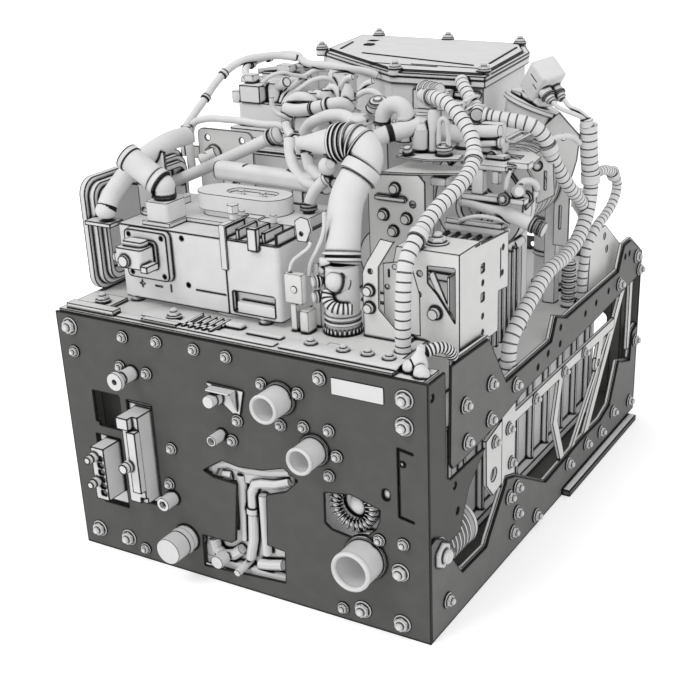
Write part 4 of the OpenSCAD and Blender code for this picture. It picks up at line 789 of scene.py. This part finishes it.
sheets = {  # name: (facing, level, thickness, outline and windows), in mm
    "box_bracket": ("y", 150, 4, [[(228, 540), (228, 606), (254, 630), (290, 596), (286, 556), (276, 520),
                                   (276, 412), (250, 412), (250, 520), (240, 540)],
                                  disc(262, 592, 5.5), disc(246, 566, 4),
                                  [(259, 440), (263, 440), (263, 480), (259, 480)]]),
    "drive_face": ("y", 56, 4, [[(236, 512), (236, 574), (264, 592), (284, 580), (288, 524), (262, 508)],
                                [(270, 530), (274, 530), (274, 560), (270, 560)]]),
    "drive_shelf": ("z", 592, 3.5, [[(186, -66), (262, -66), (290, -38), (284, 6), (262, 30), (196, 30)],
                                    [(226, -24), (262, -24), (258, 4), (224, 4)]]),
    "drive_shelf_b": ("z", 600, 3.5, [[(196, 40), (226, 40), (226, 130), (196, 134)],
                                      [(206, 60), (219, 60), (217, 116), (205, 116)]]),
    "drive_web": ("y", -4, 3.5, [[(178, 537), (186, 590), (198, 590), (210, 548), (204, 534)]]),
    "stack_ledge": ("z", 581, 3.5, [[(85, -126), (127, -118), (150, -110), (172, -100), (196, -90),
                                     (196, -56), (90, -56)]]),
    "valve_shelf": ("z", 600, 3.5, [[(96, -100), (150, -104), (192, -84), (186, -58), (100, -56)]]),
    "front_ledge": ("z", 478, 3.5, [[(150, -80), (264, -80), (264, -56), (150, -56)]]),
    "hose_lug": ("y", -331, 5, [[(64, 560), (74, 567), (86, 565), (90, 550), (82, 532), (67, 532)],
                                disc(74, 543, 3.2, 12)]),
    "side_web": ("y", -30, 4, [[(186, 540), (190, 596), (206, 590), (204, 560), (222, 556), (222, 540)]]),
    "lever_web": ("y", -26, 4, [[(252, 520), (254, 578), (270, 590), (284, 570), (288, 534), (276, 520)]]),
    "second_plate": ("y", -301, 3,
                     [[(184, 410), (184, 507), (207, 512), (228, 509), (240, 470), (240, 410)],
                      disc(190, 474, 3.6, 12), disc(202, 504, 3.6, 12),
                      [(192, 488), (194, 488), (194, 500), (192, 500)]]),
}
lidRibs = {  # ends of the ribs on the lid, in mm
    "lidTop": 690,
    "sunk": 0.1,
    "height": 1.6,
    "width": 2.2,
    "ends": [((-144, 217), (94, 169)), ((-204, 243), (-223, 318)), ((111, 194), (86, 361))],
    "lug": ((-186, 292, 689.5), (-170, 308, 692.5)),
}


def makeSheets():
    for name, (facing, level, thickness, outlines) in sheets.items():
        fit(sheetPiece(name, facing, level, thickness, outlines), "paleSheet")
    print("sheets cut:", len(sheets))


def makeLidRibs():
    level = lidRibs["lidTop"] + lidRibs["height"] / 2 - lidRibs["sunk"]
    parts = []
    for index, (start, end) in enumerate(lidRibs["ends"]):
        run = Vector(end) - Vector(start)
        side = Vector((-run.y, run.x)).normalized() * lidRibs["width"] / 2
        corners = [Vector(start) + side, Vector(start) - side, Vector(end) - side, Vector(end) + side]
        parts.append(sheetPiece("lid_rib_%d" % index, "z", level, lidRibs["height"],
                                [[tuple(c) for c in corners]]))
    parts.append(block("lid_lug", *lidRibs["lug"], 1.0))
    fit(joined("lid_ribs", parts), "paleCasting")
    print("lid ribs added:", len(lidRibs["ends"]))


makeSheets()
makeLidRibs()


# Junction box: a rounded box with two slot marks and two cable glands, leaning on its round seat

junction = {
    "corner": (243, 112, 684.5),  # the corner next to the camera, and the three edges that leave it
    "edges": ((-0.698, 0.287, 0.657), (0.475, 0.871, 0.126), (-0.536, 0.399, -0.744)),
    "size": (41, 46, 58),
    "slots": [((12, -0.5, 16), (30, 0.6, 18)), ((6, -0.5, 26), (17, 0.6, 28))],
    "glands": [(12, 27), (34, 30)],
    "gland": [(-3, 10.5), (9, 10.5), (9.6, 12), (13, 12), (13.6, 8.4), (20, 8.4), (21, 6.5), (24, 5.5)],
    "base": ((-68, 0, 636), (0, 44, 660)),  # base and clip are boxes about this corner, turned
    "clip": ((-60, -3, 646), (-38, 2, 656)),
    "baseCorner": (223, 130, 0),
    "baseTurn": -28,
    "seat": ((202, 168, 639), (0.324, 0.187, 0.927),
             [(-44, 30), (-34, 38), (-12, 43), (-9, 44), (-8, 49), (-1, 49), (0, 47.5)]),
    "post": [((198, 172, 616), (198, 172, 560)), 14],
    "cables": [[(250, 126, 652), (262, 124, 644), (280, 134, 634), (292, 150, 625), (297, 160, 616)],
               [(262, 146, 652), (274, 142, 642), (288, 150, 634), (298, 160, 621), (300, 165, 612)]],
    "cableRadius": 3.6,
    "collar": ((297, 157, 622), (0.04, 0.16, -1), [(0, 8), (1, 10.5), (12, 10.5), (13, 9)]),
}


def makeJunction():
    corner = Vector(junction["corner"])
    first, second, third = (Vector(edge).normalized() for edge in junction["edges"])
    lean = Matrix((first, second, third)).transposed().to_4x4()
    place = Matrix.Translation(corner * mm) @ lean
    head = block("junction_head", (0, 0, 0), junction["size"], 5, 4)
    marks = [block("junction_slot_%d" % index, low, high, 0.4, 1)
             for index, (low, high) in enumerate(junction["slots"])]
    for piece in [head] + marks:
        piece.matrix_world = place
        settle(piece)
    base = block("junction_base", *junction["base"], 4, 3)
    clip = block("junction_clip", *junction["clip"], 1.0)
    for piece in (base, clip):
        piece.location = Vector(junction["baseCorner"]) * mm
        piece.rotation_euler = (0, 0, math.radians(junction["baseTurn"]))
        settle(piece)
    seat = joined("junction_seat", [turned("junction_rim", *junction["seat"], 48),
                                    tubeAlong("junction_post", *junction["post"], 8)])
    glands = [turned("junction_gland_%d" % index, corner + second * across + third * along, -first,
                     junction["gland"], 28)
              for index, (across, along) in enumerate(junction["glands"])]
    cables = [tubeAlong("junction_cable_%d" % index, route, junction["cableRadius"], 5)
              for index, route in enumerate(junction["cables"])]
    collar = turned("junction_collar", *junction["collar"], 24)
    fit(joined("junction_cables", cables + [collar]), "paleHose")
    fit(joined("junction_marks", marks), "thinMoulding")
    fit(clip, "thinMoulding")
    fit(joined("junction_glands", glands), "paleCasting")
    fit(seat, "paleMoulding")
    fit(base, "paleMoulding")
    fit(head, "paleMoulding", "junction_box")
    print("junction box made")


makeJunction()


# Cuffs and bands of the main hose

bands = {  # name: (centre, direction, radius, width), in mm
    "cone_band_a": ((68, -225, 646.0), (0.9945, 0, 0.1045), 25.5, 5),
    "cone_band_b": ((76, -225, 646.8), (0.9945, 0, 0.1045), 27.5, 5),
    "cone_band_c": ((84, -225, 647.6), (0.9945, 0, 0.1045), 27.0, 4.5),
    "elbow_cuff_a": ((93, -225, 648.3), (1, 0, 0.06), 28.2, 4.5),
    "elbow_cuff_b": ((101, -225.2, 647.6), (0.97, -0.03, -0.2), 27.6, 4),
    "elbow_cuff_c": ((108.5, -225.6, 645), (0.85, -0.06, -0.5), 26.6, 3.5),
    "hose_cuff": ((117.5, -242, 612), (-0.28, -0.62, -0.73), 28.5, 18),
    "conduit_ring_a": ((233, -120, 616), (0.3, -0.7, -0.55), 13, 11),
    "conduit_ring_b": ((235.6, -296, 550), (0.03, -0.88, -0.45), 13.5, 13),
    "conduit_ring_c": ((187, 20, 643), (0.99, 0.13, -0.05), 14, 8),
    "conduit_ring_d": ((277, 54, 596), (0.2, 0.42, -0.88), 13.8, 14),
    "conduit_ring_e": ((298, 183, 522), (0, 0.15, -1), 15.4, 17),
    "conduit_ring_f": ((296, 297, 501), (0, 0.7, -0.7), 11.4, 15),
    "conduit_ring_g": ((120, -34, 678), (0.85, -0.5, 0.15), 14.5, 7),
}
bandReplaces = {"hose_cuff": ["hose_collars"]}


def bandProfile(low, high, radius, chamfer, depth):  # a ring with chamfered edges, about an axis
    return [(low, radius - depth), (low + chamfer, radius), (high - chamfer, radius), (high, radius - depth)]


def makeBands():
    for name, (centre, direction, radius, width) in bands.items():
        profile = bandProfile(-width / 2, width / 2, radius, 0.6, 3)
        fit(turned(name, centre, direction, profile, 40), "paleHose", *bandReplaces.get(name, []))
    print("bands added:", len(bands))


makeBands()


# Housing below the main hose, its toothed band clamp and its knobs

neck = {
    "place": (125, -316, 404),
    "body": [(0, 25.5), (8, 25.5), (9, 24.5), (26, 24.5), (99, 24.5), (101, 23)],
    "bands": [(14, 19, 26.5), (22, 27, 26.5)],  # from, to, radius
    "toothCount": 26,
    "tooth": ((24.5, -1.6, 1.5), (28, 1.6, 9)),
    "hoseBands": [((126, -314, 508), 27.2, 5.5), ((125.4, -312.5, 516), 27.2, 5.5)],
    "hoseAxis": (-0.12, 0.3, 1),
    "screw": ((112, -336, 510), (-0.87, -0.45, -0.1), [(-8, 5), (-7, 6), (6, 6), (7, 5)]),
    "dome": ((131, -330, 481), (-0.35, -0.88, 0.3), [(-8, 15), (5, 15), (5.5, 17.5), (8.5, 17.5),
                                                     (9, 14.5), (13, 13.6), (17, 11), (20, 7), (21, 3)]),
    "knobs": [(101, -337, 480), (101, -337, 458)],
    "knobAxis": (-0.62, -0.78, 0),
    "knob": [(-16, 5), (-5, 5), (-4.5, 7), (-2, 7), (-1.6, 9), (1, 9), (1.4, 7), (3, 7), (3.4, 9.5),
             (6, 9.5), (6.4, 7.5), (9, 7.5), (10, 5)],
    "bellows": [(119, -340, 470), (120, -346, 460), (127, -349, 452), (139, -347, 448), (151, -339, 447)],
    "ball": ((106, -334, 496), (-0.6, -0.8, 0), [(-12, 4), (-5, 4.5), (-3, 5.5), (1, 6), (4, 4.5),
                                                 (6, 2.5)]),
    "cheek": ((76, -352, 404), (90, -330, 437), 1.5),
    "backPlate": ((78, -322, 404), (92, -318, 500), 1.5),
    "sensor": ((54, -353, 447), (83, -340, 490), 1.6),
    "sensorFoot": ((60, -350, 404), (70, -342, 448), 1.0),
    "sensorEye": ((70, -353, 468), (0, -1, 0), [(0, 5), (1.2, 5), (1.6, 3.6), (2, 3)]),
}


def makeNeck():
    upward = Vector((0, 0, 1))
    place = Vector(neck["place"])
    fit(turned("hose_neck", place, upward, neck["body"], 48), "paleCasting", "hose_housing")
    for index, (low, high, radius) in enumerate(neck["bands"]):
        fit(turned("neck_band_%d" % index, place, upward, bandProfile(low, high, radius, 0.5, 1), 48),
            "paleSteel")
    parts = []
    for index in range(neck["toothCount"]):
        tooth = block("neck_tooth", *neck["tooth"], 1.0, 2)
        tooth.rotation_euler = (0, 0, 2 * math.pi * index / neck["toothCount"])
        tooth.location = place * mm
        parts.append(tooth)
    teeth = joined("neck_teeth", parts)
    settle(teeth)
    fit(teeth, "paleSteel")
    for index, (centre, radius, width) in enumerate(neck["hoseBands"]):
        profile = bandProfile(-width / 2, width / 2, radius, 0.6, 2)
        fit(turned("hose_band_%d" % index, centre, neck["hoseAxis"], profile, 44), "paleSteel")
    fit(turned("hose_band_screw", *neck["screw"], 20), "paleSteel")
    fit(turned("neck_dome", *neck["dome"], 32), "paleCasting")
    fit(turned("neck_ball", *neck["ball"], 20), "paleCasting")
    for index, start in enumerate(neck["knobs"]):
        fit(turned("neck_knob_%d" % index, start, neck["knobAxis"], neck["knob"], 24), "thinMoulding")
    fit(corrugated("neck_bellows", neck["bellows"], 8, 6, 1.6, 1.2, 20), "paleHose")
    fit(turned("neck_sensor_eye", *neck["sensorEye"], 20), "thinMoulding")
    for key in ("cheek", "backPlate", "sensor", "sensorFoot"):
        fit(block("neck_" + key, *neck[key]), "paleSheet")
    print("neck and clamp made")


makeNeck()


# Rubber boot of a cable at the right front corner, with the ribs of its sleeve

boot = {
    "foot": (282, -390, 404),
    "axis": (0.15, 0.1, 1),
    "profile": [(0, 13), (4, 13.5), (10, 12), (17, 9), (22, 6), (25, 6), (31, 5), (32, 4)],
    "petals": [((295, -404, 404), (0.25, -0.3, -0.15)), ((276, -396, 406), (-0.9, -0.4, 0.1))],
    "petal": [(-9, 8), (0, 11), (6, 10), (10, 6), (11.5, 3)],
    "sleeve": [(289, -378, 424), (298, -366, 426), (306, -350, 419), (308, -338, 404)],
}


def makeBoot():
    parts = [turned("boot_body", boot["foot"], boot["axis"], boot["profile"], 28),
             corrugated("boot_sleeve", boot["sleeve"], 8, 5.5, 1.6, 1.2, 20)]
    for index, (start, direction) in enumerate(boot["petals"]):
        parts.append(turned("boot_petal_%d" % index, start, direction, boot["petal"], 20))
    fit(joined("corner_boot", parts), "paleHose")
    print("corner boot made")


makeBoot()


# Thin parts: strips and latches of the deck, lining of the converter's pocket, edges of the carrier

deckParts = {  # name: (low corner, high corner, bevel), in mm
    "deck_strip_right": ((78, -413, 404), (262, -378, 407.5), 1.4),
    "deck_strip_left": ((-206, -413, 404), (70, -398, 406.5), 1.2),
    "pocket_back": ((-37.6, -340, 418.4), (33.6, -334, 448.6), 0.3),
    "pocket_step": ((-30, -351, 418.4), (33.6, -338, 434), 0.8),
    "foot_strip": ((316, 62, 10), (328, 398, 11.6), 0.5),
    "hatch_plate": ((-176, -394, 404), (-96, -346, 405.6), 0.6),
    "latch_a": ((-78, -384, 404), (-34, -366, 408), 1.8),
    "latch_b": ((-34, -380, 404), (-6, -366, 411), 2.0),
    "rail_left": ((-150, -402, 404), (-40, -394, 409), 1.2),
    "rail_right": ((8, -388, 404), (66, -376, 408), 1.2),
    "moon_back": ((130, -398.5, 126), (228, -396.3, 222), 0.4),
    "carrier_lip": ((-80, -413, 19), (66, -401, 32), 1.0),
    "carrier_corner": ((-80, -412, 30), (-66, -401, 74), 1.0),
    "carrier_top": ((-60, -410, 176), (86, -401, 220), 1.0),
}


def makeDeckParts():
    for name, (low, high, bevel) in deckParts.items():
        fit(block(name, low, high, bevel), "thinSheet")
    print("deck strips laid")


makeDeckParts()


# Thick rims on the mouths of the three open tubes

rims = {  # name: (centre, radius of the ring's middle, half thickness), in mm
    "inlet_rim": ((86, -467, 336), 19.2, 2.6),
    "outlet_rim": ((138, -465, 268), 18.2, 2.6),
    "coolant_rim": ((214, -467, 116), 27.6, 3.4),
}
rimStretch = 1.5  # along the tube


def makeRims():
    for name, (centre, radius, thick) in rims.items():
        deselect()
        bpy.ops.mesh.primitive_torus_add(location=Vector(centre) * mm, rotation=(math.pi / 2, 0, 0),
                                         major_radius=radius * mm, minor_radius=thick * mm,
                                         major_segments=48, minor_segments=12)
        rim = takeUp(name)
        startEdit("SELECT")
        bpy.ops.transform.resize(value=(1, rimStretch, 1), orient_type="GLOBAL")
        endEdit()
        smooth(40)
        fit(rim, "thinMoulding")
    print("rims made:", len(rims))


makeRims()


# Floor, lights and camera

room = {
    "floorSize": 40,
    "floorGrey": (0.9, 0.9, 0.9, 1),
    "floorGlow": 0.35,  # seen by the camera only, so that the floor is white and keeps the shadow
    "skyLevel": 0.78,
    "sunLevel": 0.8,
    "sunFrom": (-1.2, -2.2, 3.4),
    "sunSoftness": 22,
    "fills": [((0.8, -3.0, 1.2), 0.45), ((3.0, 0.6, 1.6), 0.25),
              ((-2.6, -1.6, 1.0), 0.22)],  # shadowless, against dark hollows
}


def layFloor():
    deselect()
    bpy.ops.mesh.primitive_plane_add(size=room["floorSize"], location=(0, 0, -0.5 * mm))
    floor = takeUp("floor")
    paint = bpy.data.materials.new("floorPaint")
    paint.use_nodes = True
    tree = paint.node_tree
    shader = tree.nodes["Principled BSDF"]
    shader.inputs["Base Color"].default_value = room["floorGrey"]
    shader.inputs["Roughness"].default_value = 1.0
    shader.inputs["Specular IOR Level"].default_value = 0.0
    plain = Wire(tree, shader.outputs[0])
    rays = addNode(tree, "ShaderNodeLightPath", {}, {})
    glow = addNode(tree, "ShaderNodeEmission", {}, {"Color": (1, 1, 1, 1), "Strength": room["floorGlow"]})
    both = addNode(tree, "ShaderNodeAddShader", {}, {0: plain, 1: Wire(tree, glow.outputs[0])})
    mix = addNode(tree, "ShaderNodeMixShader", {},
                  {0: Wire(tree, rays.outputs["Is Camera Ray"]), 1: plain, 2: Wire(tree, both.outputs[0])})
    tree.links.new(mix.outputs[0], tree.nodes["Material Output"].inputs["Surface"])
    floor.data.materials.append(paint)


def lightSky():
    world = bpy.data.worlds.new("studio")
    bpy.context.scene.world = world
    world.use_nodes = True
    sky = world.node_tree
    back = sky.nodes["Background"]
    back.inputs["Color"].default_value = (1, 1, 1, 1)
    rays = addNode(sky, "ShaderNodeLightPath", {}, {})
    level = Wire(sky, rays.outputs["Is Camera Ray"]) * (1.0 - room["skyLevel"]) + room["skyLevel"]
    sky.links.new(level.socket, back.inputs["Strength"])


def addSun(place, energy):
    deselect()
    bpy.ops.object.light_add(type="SUN", location=place, rotation=turnTo(place))
    sun = bpy.context.object
    sun.data.energy = energy
    return sun


layFloor()
lightSky()
addSun(room["sunFrom"], room["sunLevel"]).data.angle = math.radians(room["sunSoftness"])
for fillPlace, fillLevel in room["fills"]:
    addSun(fillPlace, fillLevel).data.use_shadow = False
print("room lit")

cameraSet = {
    "azimuth": 29.988,
    "elevation": 24.368,
    "roll": -1.676,
    "lens": 63.97,
    "shift": (-0.05, 0.0643),
    "place": (0.98995, -1.70377, 1.04215),
}


def setCamera():
    a, e, roll = (math.radians(cameraSet[key]) for key in ("azimuth", "elevation", "roll"))
    back = Vector((math.sin(a) * math.cos(e), -math.cos(a) * math.cos(e), math.sin(e)))
    right = Vector((0, 0, 1)).cross(back).normalized()
    up = back.cross(right)
    leaned = right * math.cos(roll) + up * math.sin(roll)
    upright = up * math.cos(roll) - right * math.sin(roll)
    deselect()
    bpy.ops.object.camera_add(location=cameraSet["place"])
    camera = bpy.context.object
    turn = Matrix((leaned, upright, back)).transposed()
    camera.rotation_euler = turn.to_euler()
    camera.data.lens = cameraSet["lens"]
    camera.data.sensor_width = 36
    camera.data.shift_x, camera.data.shift_y = cameraSet["shift"]
    bpy.context.scene.camera = camera
    print("camera set")


setCamera()
bpy.context.scene.view_settings.view_transform = "Standard"
